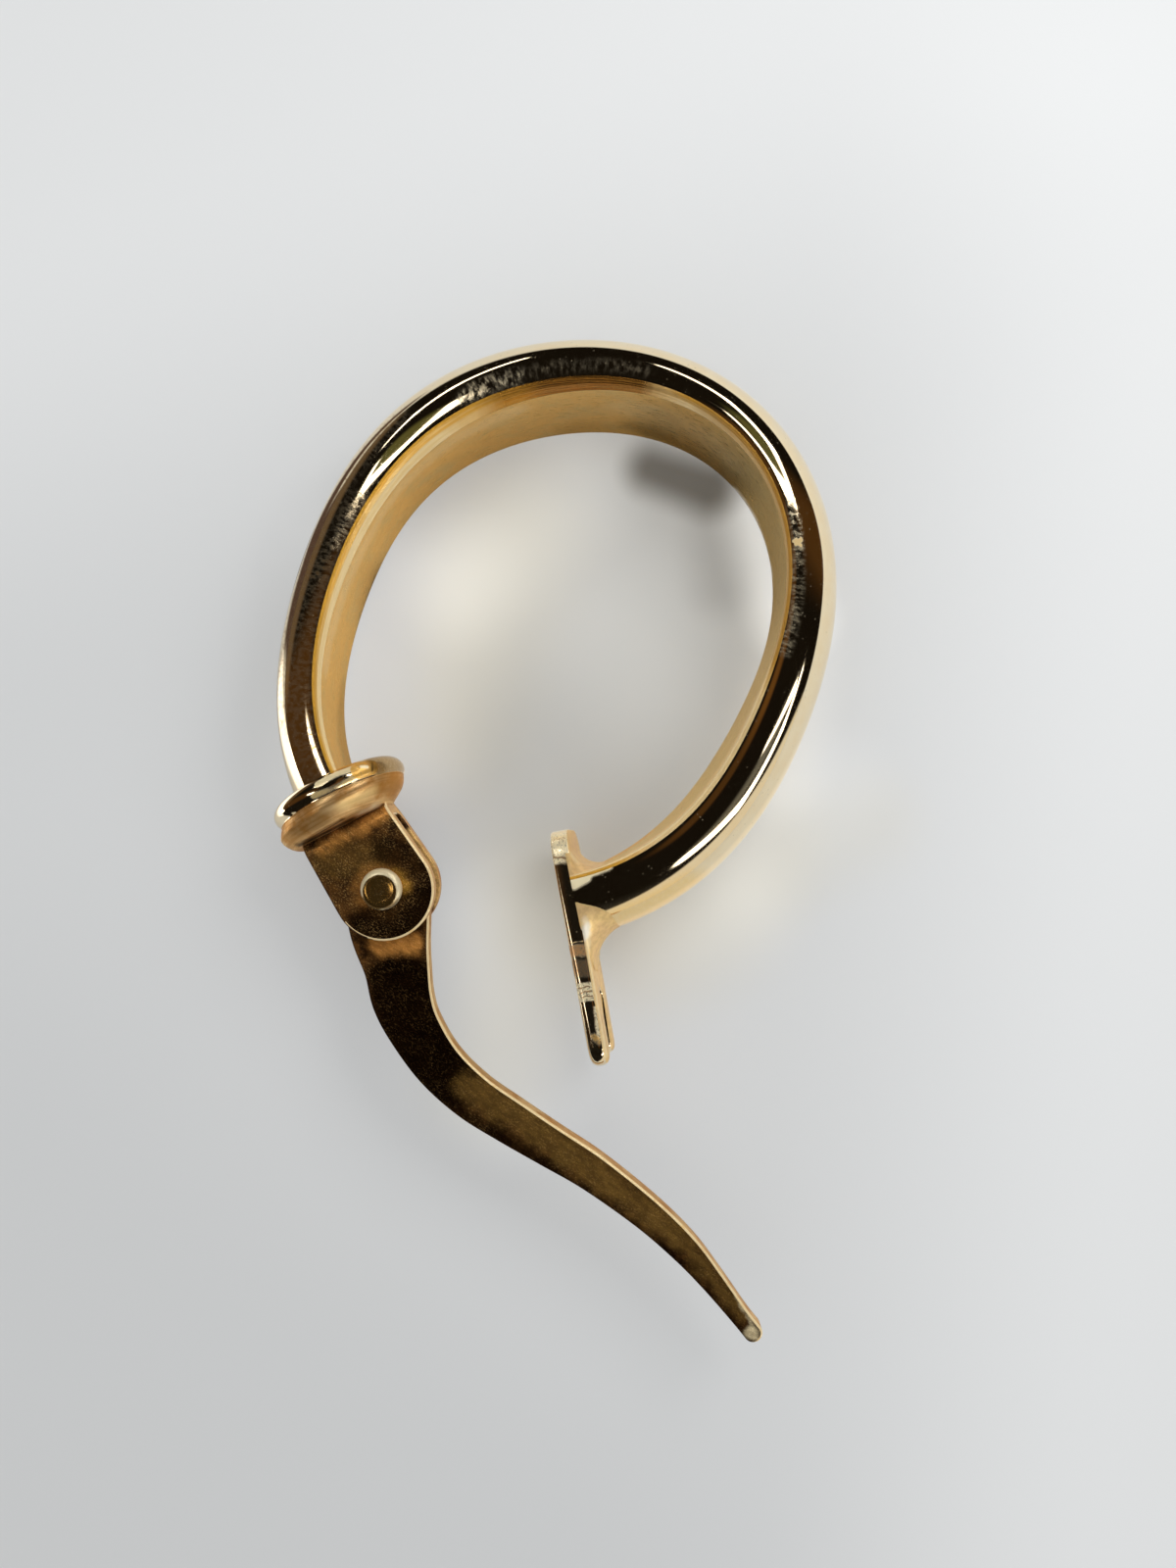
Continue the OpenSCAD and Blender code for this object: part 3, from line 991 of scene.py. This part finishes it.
def makeFloor():
    deselectAll()
    bpy.ops.mesh.primitive_circle_add(vertices=floorSheet["corners"], radius=floorSheet["radius"] * mm,
                                      fill_type="NGON")
    floor = startPiece("floor")
    material, tree, shader = startMaterial("paleFloor", floorSheet["finish"])
    turn = (0, 0, math.radians(studio["turn"]))
    point = mapped(tree, "Object", Rotation=turn, Scale=(1 / mm, 1 / mm, 1 / mm))
    color = floorColor(tree, point)
    seen = vectorNode(tree, "SCALE", color, floorSheet["gain"])
    # painted shade, seen only in the gold's reflections
    for strip in floorSheet["murk"]:
        seen = mixColor(tree, placeStrip(tree, point, *strip), seen, floorSheet["reflectedShadeTint"] + (1,))
    path = addNode(tree, "ShaderNodeLightPath")
    mirrored = path.outputs["Is Glossy Ray"]
    plain = vectorNode(tree, "SCALE", color, floorSheet["even"])
    link(tree, mixColor(tree, mirrored, plain, seen), shader.inputs["Base Color"])
    # an even glow, with the painted light and painted shade patches added to it
    glowAndPaintedLight = floorSheet["glow"] / floorSheet["color"][1]
    for *strip, amount in floorSheet["paintedLightAndShade"]:
        glowAndPaintedLight = mathNode(tree, "MULTIPLY_ADD", placeStrip(tree, point, *strip), amount, glowAndPaintedLight)
    # painted light, seen only in the gold's reflections
    shine = 0.0
    for *strip, amount in floorSheet["shine"]:
        shine = mathNode(tree, "MULTIPLY_ADD", placeStrip(tree, point, *strip), amount, shine)
    shine = vectorNode(tree, "SCALE", floorSheet["shineTint"], shine)
    glow = vectorNode(tree, "SCALE", color, glowAndPaintedLight)
    link(tree, mixColor(tree, mirrored, glow, shine), shader.inputs["Emission Color"])
    away = vectorNode(tree, "SUBTRACT", point, (*floorSheet["middle"], 0))
    away = vectorNode(tree, "DIVIDE", away, (*floorSheet["halves"], 1))
    low, high = floorSheet["fade"]
    fade = rangeNode(tree, vectorNode(tree, "LENGTH", away), low, high, 1, 0)
    link(tree, mathNode(tree, "MAXIMUM", fade, path.outputs["Is Camera Ray"]), shader.inputs["Alpha"])
    material.cycles.emission_sampling = "NONE"
    floor.data.materials.append(material)


scene.view_settings.view_transform = "Standard"
lightStudio()
addKeyLight()
makeFloor()
print("studio is lit")


# Shared effects
def makeSpeckGroup():
    group, given, made = newGroup("specks", ("Vector", "Scale", "Size", "Share"), ("Mask",))
    places = {label: given[label] for label in ("Vector", "Scale")}
    cells = addNode(group, "ShaderNodeTexVoronoi", places, feature="F1")
    near = rangeNode(group, cells.outputs["Distance"], given["Size"], 0, 0, 1)
    value = addNode(group, "ShaderNodeSeparateColor", {"Color": cells.outputs["Color"]})
    chosen = mathNode(group, "LESS_THAN", value.outputs[0], given["Share"])
    link(group, times(group, near, chosen), made["Mask"])
    return group


def makeMottleGroup():
    group, given, made = newGroup("mottle", ("Vector", "Scale", "Low", "High"), ("Mask", "Height"))
    places = {label: given[label] for label in ("Vector", "Scale")}
    noise = addNode(group, "ShaderNodeTexNoise", {"Detail": 5, "Roughness": 0.62, **places})
    mask = rangeNode(group, noise.outputs[0], given["Low"], given["High"])
    feedAll(group, made, (mask, noise.outputs[0]))
    return group


speckGroup = makeSpeckGroup()
mottleGroup = makeMottleGroup()

goldTones = {
    "bright": (0.95, 0.80, 0.54, 1),
    "warm": (0.90, 0.66, 0.34, 1),
    "deep": (0.95, 0.66, 0.29, 1),
    "olive": (0.76, 0.64, 0.37, 1),
    "edge": (1.0, 0.86, 0.55, 1),
    "wax": (0.66, 0.48, 0.22, 1),
    "haze": (0.60, 0.50, 0.32, 1),
    "dust": (0.40, 0.21, 0.06, 1),
    "tan": (0.50, 0.29, 0.12, 1),
    "brass": (0.86, 0.45, 0.06, 1),
    "gilt": (0.98, 0.70, 0.30, 1),
    "honey": (0.94, 0.64, 0.30, 1),
    "flax": (0.98, 0.76, 0.42, 1),
    "cream": (1.0, 0.82, 0.48, 1),
    "rust": (0.40, 0.17, 0.03, 1),
    "murk": (0.03, 0.011, 0.004, 1),
    "umber": (0.16, 0.07, 0.018, 1),
    "fleck": (0.95, 0.60, 0.22, 1),
    "orange": (0.62, 0.27, 0.06, 1),
    "bronze": (0.30, 0.165, 0.038, 1),
    "moss": (0.76, 0.66, 0.40, 1),
    "pearl": (0.92, 0.88, 0.78, 1),
    "black": (0.010, 0.004, 0.002, 1),
}


def inMillimetres(tree, scale=(1, 1, 1)):
    return mapped(tree, "Object", Scale=[value / mm for value in scale])


def ragged(tree, place, scale, amount):
    # Shifts places a little, so that a mark's outline is uneven
    noise = addNode(tree, "ShaderNodeTexNoise", {"Scale": scale, "Detail": 3, "Vector": place})
    shift = vectorNode(tree, "SUBTRACT", noise.outputs["Color"], (0.5, 0.5, 0.5))
    return vectorNode(tree, "ADD", place, vectorNode(tree, "SCALE", shift, amount))


def mottled(tree, place, grain):
    scale, low, high = grain
    return placeGroup(tree, mottleGroup, Vector=place, Scale=scale, Low=low, High=high).outputs


def finish(tree, shader, values, color, metal, roughness, height):
    strength, distance = values["bump"]
    bump = addNode(tree, "ShaderNodeBump",
                   {"Height": height, "Strength": strength, "Distance": distance * mm})
    feedAll(tree, [shader.inputs[label] for label in ("Base Color", "Metallic", "Roughness", "Normal")],
            (color, metal, roughness, bump.outputs["Normal"]))


def marksAt(placeAt, *rows):
    # Each mark: two places, half width, softness, strength, tone, and how metallic it stays
    return [(placeAt(*start), placeAt(*end), *rest) for start, end, *rest in rows]


# Haze on the polish, broken up by the fine scratch grain: brown further up the dome, and pale along the near
# rim, where it is partly a painted highlight
bandHazeAndHighlight = marksAt(
    onDome,
    ((66, 0.28), (20, 0.24), 0.35, 0.45, 0.9, "dust", 0.86),
    ((20, 0.24), (0, 0.16), 0.12, 0.40, 0.95, "dust", 0.8),
    ((52, 0.72), (-20, 0.62), 0.20, 0.55, 0.8, "dust", 0.82),
    ((12, 0.17), (-2, 0.14), 0.05, 0.30, 0.9, "haze", 0.6),
    ((-37, 0.2), (-48, 0.2), 0.14, 0.26, 1.0, "haze", 0.45),
    ((-48, 0.2), (-76, 0.22), 0.02, 0.35, 0.35, "haze", 0.7),
    ((-119, 0.18), (-127, 0.16), 0.10, 0.20, 1.0, "haze", 0.45),
    ((-128, 0.14), (-150, 0.12), 0.08, 0.26, 0.9, "haze", 0.6))


# Each grain below is scale, low and high, and each bump is strength and height in mm
polish = {
    "shader": {"Specular Tint": (1.0, 0.98, 0.94, 1)},
    "streaks": (320, 30, 1),            # along and across the band's own map
    "streakGrain": (1.0, 0.42, 0.68),
    "grain": (15.0, 0.44, 0.68),
    "patch": (1.7, 0.38, 0.66),
    "patchShare": 0.25,
    "specks": {"Scale": 10.0, "Size": 0.3, "Share": 0.10},
    "speckShare": 0.5,
    "speckMetal": -0.5,                 # how much less metallic the specks are
    "speckHeight": -0.5,
    "ragged": 5.0,
    "softer": 0.35,                     # roughness where the polish is gone
    "bump": (0.4, 0.004),
}


def scratchGrain(tree, place, streaked=False):
    # Fine grain that shows where the polish is worn, as streaks over the band's own map or even
    if streaked:
        fine = mottled(tree, mapped(tree, "UV", Scale=polish["streaks"]), polish["streakGrain"])
    else:
        fine = mottled(tree, place, polish["grain"])
    return fine["Mask"], mottled(tree, place, polish["patch"])["Mask"]


def blendMarks(tree, place, marks, color, metal, grain=1.0):
    for start, end, half, softness, share, tone, stays in marks:
        there = times(tree, placeStrip(tree, place, start, end, half, half, softness), share)
        there = times(tree, there, grain)
        color = mixColor(tree, there, color, tone)
        metal = rangeNode(tree, there, 0, 1, metal, stays, "LINEAR")
    return color, metal


def bandMap(tree, perRow):
    # The band's own map in mm: along the oval, and across the section's rows
    reach = mapAlong(ovalBand["end"])
    return mapped(tree, "UV", Scale=(reach, len(bandSection(0)) * perRow, 1))


def makePolishedGold(name, haze=(), marks=(), gloss=0.08, uneven=0.04, broken=0.2):
    material, tree, shader = startMaterial(name, polish["shader"])
    place = inMillimetres(tree)
    onMap = bandMap(tree, ovalBand["perRow"]) if haze else place
    fine, patch = scratchGrain(tree, place, bool(haze))
    specks = placeGroup(tree, speckGroup, Vector=place, **polish["specks"]).outputs["Mask"]
    worn = times(tree, specks, polish["speckShare"])
    color = mixColor(tree, times(tree, patch, polish["patchShare"]), "bright", "warm")
    color = mixColor(tree, worn, color, "haze")
    metal = mathNode(tree, "MULTIPLY_ADD", worn, polish["speckMetal"], 1.0)
    grain = times(tree, fine, mathNode(tree, "MULTIPLY_ADD", patch, 0.5, 0.5))
    color, metal = blendMarks(tree, onMap, haze, color, metal, grain)
    share = mathNode(tree, "MULTIPLY_ADD", fine, -broken, 1.0)
    color, metal = blendMarks(tree, ragged(tree, onMap, polish["ragged"], uneven), marks, color, metal, share)
    softer = mathNode(tree, "SUBTRACT", 1.0, metal)
    roughness = mathNode(tree, "MULTIPLY_ADD", softer, polish["softer"], gloss)
    height = mathNode(tree, "MULTIPLY_ADD", specks, polish["speckHeight"], times(tree, fine, softer))
    finish(tree, shader, polish, color, metal, roughness, height)
    return material


# Marks on the inner wall: painted highlight lines along its top and bottom edges, patches that are darker
# towards the bottom, and paler, olive and orange patches
wallHighlightsAndPatches = marksAt(
    onWall,
    ((-118, 0.0), (-206, 0.0), 1.2, 2.6, 0.85, "moss", 1.0),
    ((-62, -0.8), (-104, -1.05), 0.2, 0.8, 0.3, "bronze", 0.9),
    ((-76, -0.5), (-92, -1.0), 0.1, 0.6, 0.5, "bronze", 0.9),
    ((-76, 0.3), (-98, 0.1), 0.3, 0.9, 0.35, "flax", 0.7),
    ((66, -0.5), (52, -0.9), 0.5, 0.9, 0.35, "bronze", 0.9),
    ((40, 0.72), (-46, 0.66), 0.15, 0.5, 0.55, "flax", 0.7),
    ((-165, 0.86), (-214, 0.8), 0.14, 0.4, 0.7, "flax", 0.5),
    ((-106, -1.0), (-126, -1.0), 0.1, 0.3, 0.9, "pearl", 0.2),
    ((-168, -1.05), (-200, -1.05), 0.1, 0.3, 0.9, "pearl", 0.2),
    ((-214, -0.9), (-231, -0.3), 0.4, 0.8, 0.5, "brass", 0.8))


satin = {
    "shader": {"Specular Tint": (0.92, 0.70, 0.40, 1)},
    "brushing": (1, 1, 6),
    "brush": (3.0, 0.3, 0.7),
    "stain": (0.9, 0.42, 0.72),
    "stainShare": 0.6,
    "grainShare": 0.1,
    "ragged": (1.2, 0.7),
    "roughness": (0.26, 0.42),
    "bump": (0.45, 0.010),
}


def makeSatinGold():
    material, tree, shader = startMaterial("satinGold", satin["shader"])
    brush = mottled(tree, inMillimetres(tree, satin["brushing"]), satin["brush"])
    stain = mottled(tree, inMillimetres(tree), satin["stain"])["Mask"]
    grain = scratchGrain(tree, inMillimetres(tree))[0]
    color = mixColor(tree, times(tree, stain, satin["stainShare"]), "deep", "olive")
    color = mixColor(tree, times(tree, grain, satin["grainShare"]), color, "tan")
    uneven = ragged(tree, bandMap(tree, ovalBand["perWallRow"]), *satin["ragged"])
    color, metal = blendMarks(tree, uneven, wallHighlightsAndPatches, color, 1.0)
    roughness = rangeNode(tree, brush["Mask"], 0, 1, *satin["roughness"])
    finish(tree, shader, satin, color, metal, roughness, brush["Height"])
    return material


# Where the chamfer is darker or paler
chamferMarks = marksAt(
    lambda angle: (mapAlong(angle), 0, 0),
    ((-47,), (-76,), 0.2, 1.2, 0.9, "rust", 0.9),
    ((-97,), (-148,), 0.2, 1.6, 0.55, "dust", 0.5),
    ((-36,), (-46,), 0.2, 0.9, 0.4, "brass", 0.6),
    ((-80,), (-82,), 0.02, 0.5, 0.5, "gilt", 0.3),
    ((-168,), (-206,), 0.2, 1.6, 0.7, "cream", 0.3))


amber = {
    "shader": {"Specular Tint": (1.0, 0.62, 0.2, 1)},
    "roughness": 0.22,
    "lines": (14, 240, 1),
    "lineGrain": (1.0, 0.40, 0.58),
    "lineShift": 3.0,                   # how many rows the lines shift the colours
    "blends": (5, 4, 6),                # rows over which the colours and the metal change
    "ragged": (3.0, 0.5),
    "metallic": (0.25, 0.45),
    "bump": (0.5, 0.006),
}


def makeAmberGold():
    # The chamfer: fine lines run along it, and it turns from cream at its foot, a painted highlight, to deep
    # amber at the rim, a painted reflection of the gold inside the loop
    material, tree, shader = startMaterial("amberGold", amber["shader"])
    lines = mottled(tree, mapped(tree, "UV", Scale=amber["lines"]), amber["lineGrain"])["Mask"]
    rows = mapped(tree, "UV", Scale=(1, len(bandSection(0)), 1))
    row = addNode(tree, "ShaderNodeSeparateXYZ", {"Vector": rows})
    foot = ovalBand["wallSteps"] + ovalBand["roundSteps"]
    ledge = foot + 2 * ovalBand["roundSteps"]
    creamTo, metalFrom, last = amber["blends"]
    higher = mathNode(tree, "MULTIPLY_ADD", lines, amber["lineShift"], row.outputs[1])
    color = mixColor(tree, rangeNode(tree, higher, foot + creamTo, ledge + 1), "cream", "gilt")
    color = mixColor(tree, rangeNode(tree, higher, ledge, ledge + last), color, "brass")
    metal = rangeNode(tree, higher, foot + metalFrom, ledge + last, *amber["metallic"])
    along = mapped(tree, "UV", Scale=(mapAlong(ovalBand["end"]), 0, 1))
    color, metal = blendMarks(tree, ragged(tree, along, *amber["ragged"]), chamferMarks, color, metal)
    finish(tree, shader, amber, color, metal, amber["roughness"], lines)
    return material


brushed = {
    "shader": {"Specular Tint": (0.95, 0.72, 0.42, 1)},
    "roughness": 0.34,
    "wide": (1.3, 0.35, 0.62),
    "fine": (1.0, 0.36, 0.66),
    "evenly": (6, 6, 6),
    "ragged": (4.0, 0.16),
    "bump": (0.6, 0.012),
}


def makeBrushedGold(name, tones, marks=(), brushing=None, metallic=0.6, contrast=0.7):
    # Brushed along the piece's own map, or evenly where no brushing is given
    material, tree, shader = startMaterial(name, brushed["shader"])
    place = inMillimetres(tree)
    wide = mottled(tree, place, brushed["wide"])["Mask"]
    grain = mapped(tree, "UV", Scale=brushing) if brushing else inMillimetres(tree, brushed["evenly"])
    fine = mottled(tree, grain, brushed["fine"])
    dark, low, high = tones
    color = mixColor(tree, wide, low, high)
    color = mixColor(tree, times(tree, fine["Mask"], contrast), color, dark)
    color, metal = blendMarks(tree, ragged(tree, place, *brushed["ragged"]), marks, color, metallic)
    finish(tree, shader, brushed, color, metal, brushed["roughness"], fine["Height"])
    return material


worn = {
    "shader": {"Specular Tint": (0.5, 0.28, 0.1, 1)},
    "mottle": (1.6, 0.40, 0.60),
    "cluster": (1.9, 0.40, 0.66),
    "fine": (17.0, 0.48, 0.68),
    "fineStretch": (1, 1.6, 1),
    "satin": (2.6, 0.36, 0.64),
    "satinStretch": (1.0, 3.0, 1),
    "satinShare": 0.45,
    "pits": {"Scale": 13.0, "Size": 0.2, "Share": 0.08},
    "pitShare": 0.7,
    "fleckShares": (0.5, 0.05),         # in the clusters, and everywhere
    "fleckHeight": 0.6,
    "ragged": (2.0, 0.5),
    "metallic": 0.55,
    "roughness": (0.22, 0.4),
    "bump": (0.5, 0.008),
}


def makeWornGold(name, marks, cover):
    # Dark tarnish, with fine flecks of bare gold over the given share of it
    material, tree, shader = startMaterial(name, worn["shader"])
    place = inMillimetres(tree)
    mottle = mottled(tree, place, worn["mottle"])["Mask"]
    cluster = mottled(tree, place, worn["cluster"])["Mask"]
    fine = mottled(tree, inMillimetres(tree, worn["fineStretch"]), worn["fine"])
    satinMask = mottled(tree, inMillimetres(tree, worn["satinStretch"]), worn["satin"])["Mask"]
    pits = placeGroup(tree, speckGroup, Vector=place, **worn["pits"]).outputs["Mask"]
    shares = [share * cover for share in worn["fleckShares"]]
    flecks = times(tree, fine["Mask"], mathNode(tree, "MULTIPLY_ADD", cluster, *shares))
    color = mixColor(tree, mottle, "murk", "umber")
    color, metal = blendMarks(tree, ragged(tree, place, *worn["ragged"]), marks, color, worn["metallic"])
    color = mixColor(tree, times(tree, satinMask, worn["satinShare"]), color, "murk")
    color = mixColor(tree, flecks, color, "fleck")
    color = mixColor(tree, times(tree, pits, worn["pitShare"] * cover), color, "cream")
    roughness = rangeNode(tree, fine["Mask"], 0, 1, *worn["roughness"])
    height = mathNode(tree, "MULTIPLY_ADD", flecks, worn["fleckHeight"], fine["Height"])
    finish(tree, shader, worn, color, metal, roughness, height)
    return material


# Painted highlight on the rounded edges that face the light
edgeHighlight = {
    "shader": {"Specular Tint": (1.0, 0.88, 0.6, 1)},
    "roughness": 0.25,
    "rough": (4.0, 0.50, 0.75),
    "brassShare": 0.6,
    "metallic": 0.15,
    "bump": (0.4, 0.006),
}


def makeEdgeHighlightGold():
    material, tree, shader = startMaterial("edgeHighlightGold", edgeHighlight["shader"])
    rough = mottled(tree, inMillimetres(tree), edgeHighlight["rough"])
    color = mixColor(tree, times(tree, rough["Mask"], edgeHighlight["brassShare"]), "flax", "brass")
    finish(tree, shader, edgeHighlight, color, edgeHighlight["metallic"], edgeHighlight["roughness"], rough["Height"])
    return material


def onPost(station, aside=0.0, high=0.3):
    # A place along the ear post by its rows, and aside of its middle line
    row = postAt(int(station), station - int(station))
    ahead = postAt(int(station), station - int(station) + 0.01) - row
    side = Vector((-ahead.y, ahead.x)).normalized() * aside
    return rivetMiddle / mm + Vector((row.x + side.x, row.y + side.y, high))


def onCatch(along, out=0.0, across=1.45):
    return catchMatrix() @ (Vector((along, across, out)) * mm) / mm


def onRim(across, height=0.0):
    # A place on the near side of the collar's rim, across from its middle
    radius = collar["rimRadius"]
    local = Vector((-math.sqrt(radius ** 2 - across ** 2), across, height)) * mm
    return collarMatrix() @ local / mm


def onEar(reach, across, high=0.85):
    return hingeMatrix() @ (Vector((reach, across, high)) * mm) / mm


def onRivet(angle, reach, high=1.11):
    # Angles are the picture's own
    place = turned(angle + photoCamera["turn"], reach)
    return rivetMiddle / mm + Vector((place.x, place.y, high))


# Painted sheen down the middle of the blade, painted shade along its left edge, painted highlights at the
# tip, and a dark patch and an orange one nearer the heel
postSheenShadeAndHighlights = marksAt(
    onPost,
    ((2.9,), (4.9,), 1.0, 0.4, 0.9, "black", 0.9),
    ((1.25, -0.3), (1.45, 0.55), 0.14, 0.34, 1.0, "orange", 0.2),
    ((5.8, 0.2), (8.4, 0.2), 0.12, 0.6, 0.8, "bronze", 0.5),
    ((8.4, 0.16), (10.6, 0.16), 0.12, 0.5, 0.85, "bronze", 0.5),
    ((10.6, 0.16), (12.9, 0.1), 0.05, 0.35, 0.7, "bronze", 0.55),
    ((5.2, -0.7), (8.4, -0.62), 0.02, 0.4, 0.7, "black", 0.8),
    ((8.4, -0.62), (10.6, -0.52), 0.02, 0.35, 0.7, "black", 0.8),
    ((10.6, -0.52), (13.6, -0.25), 0.02, 0.3, 0.7, "black", 0.8),
    ((13.9,), (14.0,), 0.10, 0.2, 0.95, "cream", 0.3),
    ((12.6, 0.26), (13.8, 0.14), 0.01, 0.12, 0.85, "cream", 0.4))
# A painted orange reflection across the bend, and darker, paler and orange patches on the ear
earPatchesAndReflection = marksAt(
    onEar,
    ((2.95, 0), (2.96, 0), 0.60, 0.40, 0.8, "orange", 0.35),
    ((2.85, 0.5), (3.15, 0.55), 0.1, 0.35, 0.8, "brass", 0.4),
    ((1.15, -0.9), (1.15, 0.95), 0.08, 0.30, 0.9, "orange", 0.3),
    ((1.7, -0.9), (2.0, 0.2), 0.2, 0.5, 0.5, "bronze", 0.6),
    ((3.8, -0.9), (3.9, 0.9), 0.35, 0.45, 0.85, "black", 0.8),
    ((2.0, 0.6), (3.0, 1.2), 0.2, 0.35, 0.6, "black", 0.8),
    ((2.0, 1.2, -0.4), (3.9, 1.2, -0.4), 0.25, 0.2, 0.85, "fleck", 0.35))
# Painted light and shade on the rivet head: pale all over so that its rim reads as a bright ring, painted
# shade on its lower side, and a painted dark reflection filling the dish
rivetLightAndShade = marksAt(
    onRivet,
    ((60, 0.0), (60, 0.01), 0.6, 0.02, 0.95, "edge", 0.3),
    ((215, 0.56), (255, 0.56), 0.10, 0.14, 0.9, "bronze", 0.7),
    ((285, 0.60), (325, 0.60), 0.05, 0.12, 0.8, "bronze", 0.7),
    ((250, 0.06), (250, 0.07), 0.44, 0.05, 1.1, "bronze", 0.9))
# Painted highlight lines along the rim's crest, a rough nick with a bright spot and a dark edge, and browner
# towards the right end
rimHighlightsAndNick = marksAt(
    onRim,
    ((-0.30, 0.14), (1.0, 0.12), 0.05, 0.06, 0.95, "gilt", 0.5),
    ((-0.05, -0.12), (1.0, -0.12), 0.07, 0.05, 0.95, "cream", 0.25),
    ((-1.2, 0.22), (1.0, 0.24), 0.02, 0.03, 0.95, "cream", 0.25),
    ((1.08, 0.0), (1.36, 0.0), 0.22, 0.05, 0.9, "brass", 0.4),
    ((1.16, -0.08), (1.28, -0.02), 0.03, 0.04, 0.95, "edge", 0.2),
    ((1.36, 0.14), (1.44, -0.1), 0.015, 0.04, 0.9, "murk", 0.6),
    ((1.62, -0.1), (1.97, -0.1), 0.30, 0.22, 0.8, "bronze", 0.7))
# Painted shade in the slot between the seat and the yoke and in a thin line above it, painted highlights, and
# darker brown patches
seatShadeAndHighlights = marksAt(
    onEar,
    ((0.95, -1.5, 1.0), (0.95, 0.1, 1.0), 0.10, 0.2, 0.95, "murk", 0.6),
    ((0.95, 0.55, 1.1), (0.95, 1.25, 0.9), 0.04, 0.26, 0.9, "edge", 0.3),
    ((0.75, 0.0, 1.45), (0.85, -1.3, 1.2), 0.02, 0.12, 0.85, "murk", 0.5),
    ((0.55, -1.5, 1.2), (0.5, -0.4, 1.7), 0.1, 0.3, 0.6, "rust", 0.6),
    ((0.45, 0.3, 1.75), (0.5, 1.2, 1.3), 0.05, 0.25, 0.7, "gilt", 0.4),
    ((0.4, 1.5, 1.0), (0.8, 1.7, 0.3), 0.2, 0.4, 0.7, "rust", 0.6))
# Painted highlights along the plate's near edge and at its two ends, with darker rust and orange bands across
# it
catchHighlightsAndBands = marksAt(
    onCatch,
    ((-2.9, 0.6), (-2.84, -0.6), 0.44, 0.1, 0.95, "edge", 0.3),
    ((-2.62, 0.3), (-2.44, -0.3), 0.01, 0.03, 0.9, "rust", 0.6),
    ((-0.02, 0.6), (0.10, -0.6), 0.12, 0.08, 0.8, "orange", 0.45),
    ((-0.22, 0.6), (-0.16, -0.6), 0.005, 0.02, 0.8, "fleck", 0.4),
    ((0.50, 0.6), (0.56, -0.6), 0.16, 0.14, 0.7, "rust", 0.75),
    ((1.16, 0.6), (1.20, -0.6), 0.22, 0.06, 0.9, "edge", 0.3),
    ((1.05, 0.6), (1.07, -0.6), 0.008, 0.02, 0.9, "rust", 0.6),
    ((1.17, 0.6), (1.20, -0.6), 0.008, 0.02, 0.9, "orange", 0.6),
    ((1.29, 0.6), (1.31, -0.6), 0.008, 0.02, 0.9, "rust", 0.6),
    ((1.65, -0.19), (2.5, -0.13), 0.02, 0.07, 0.9, "edge", 0.3),
    ((2.40, 0.0), (2.55, -0.1), 0.03, 0.10, 0.8, "brass", 0.5),
    ((3.25,), (3.3,), 0.14, 0.08, 0.9, "edge", 0.3))
bandMarks = marksAt(
    onDome,
    ((-125.4, 0.22), (-126.1, 0.12), 0.04, 0.04, 1.2, "wax", 0.0),
    ((-126.6, 0.21), (-126.2, 0.16), 0.02, 0.04, 1.2, "wax", 0.0),
    ((-125.2, 0.14), (-125.6, 0.08), 0.02, 0.03, 1.1, "wax", 0.0),
    ((-212, 0.9), (-231, 0.9), 0.5, 0.7, 0.85, "gilt", 0.9),
    ((-222, 0.0), (-231, 0.02), 0.03, 0.12, 1.0, "edge", 0.1),
    ((-228, 0.04), (-231, 0.10), 0.10, 0.12, 1.0, "edge", 0.1))
solderMarks = marksAt(
    onCatch,
    ((-2.6, -0.3, 1.3), (3.0, -0.3, 1.3), 0.04, 0.16, 0.6, "edge", 0.3),
    ((1.3, -0.3, 0.9), (2.9, -0.3, 1.0), 0.02, 0.07, 0.8, "rust", 0.5),
    ((-0.9, -0.3, 1.35), (-0.3, -0.3, 1.4), 0.04, 0.16, 0.8, "pearl", 0.3))

bandGold = makePolishedGold("bandGold", bandHazeAndHighlight, bandMarks, 0.06, 0.03)
rimGold = makePolishedGold("rimGold", (), rimHighlightsAndNick)
rivetGold = makePolishedGold("rivetGold", (), rivetLightAndShade, 0.14, 0.02)
catchGold = makePolishedGold("catchGold", (), catchHighlightsAndBands, 0.1, 0.12, 0.6)
satinGold = makeSatinGold()
amberGold = makeAmberGold()
seatGold = makeBrushedGold("seatGold", ("rust", "orange", "honey"), seatShadeAndHighlights, (5, 44, 1), 0.6, 0.6)
solderGold = makeBrushedGold("solderGold", ("tan", "honey", "gilt"), solderMarks, None, 0.4, 0.35)
earGold = makeWornGold("earGold", earPatchesAndReflection, 0.6)
postGold = makeWornGold("postGold", postSheenShadeAndHighlights, 0.28)
edgeHighlightGold = makeEdgeHighlightGold()

for piece, materials in ((band, (bandGold, satinGold, amberGold)), (collarPiece, (rimGold, seatGold)),
                         (catch, (catchGold, solderGold)), (solderPiece, (solderGold,)),
                         (yokePiece, (earGold, edgeHighlightGold, seatGold)), (rivetPiece, (rivetGold,)),
                         (postPiece, (postGold, edgeHighlightGold, seatGold))):
    indices = [face.material_index for face in piece.data.polygons]
    piece.data.materials.clear()
    for material in materials:
        piece.data.materials.append(material)
    for face, index in zip(piece.data.polygons, indices):
        face.material_index = index
print("materials are on")

for piece in (band, collarPiece, yokePiece, catch, solderPiece):
    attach(piece, "hoop_body")
    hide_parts("hoop")
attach(rivetPiece, "hoop_body")
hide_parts("rivet")
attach(postPiece, "post_body")
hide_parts("ear_post")
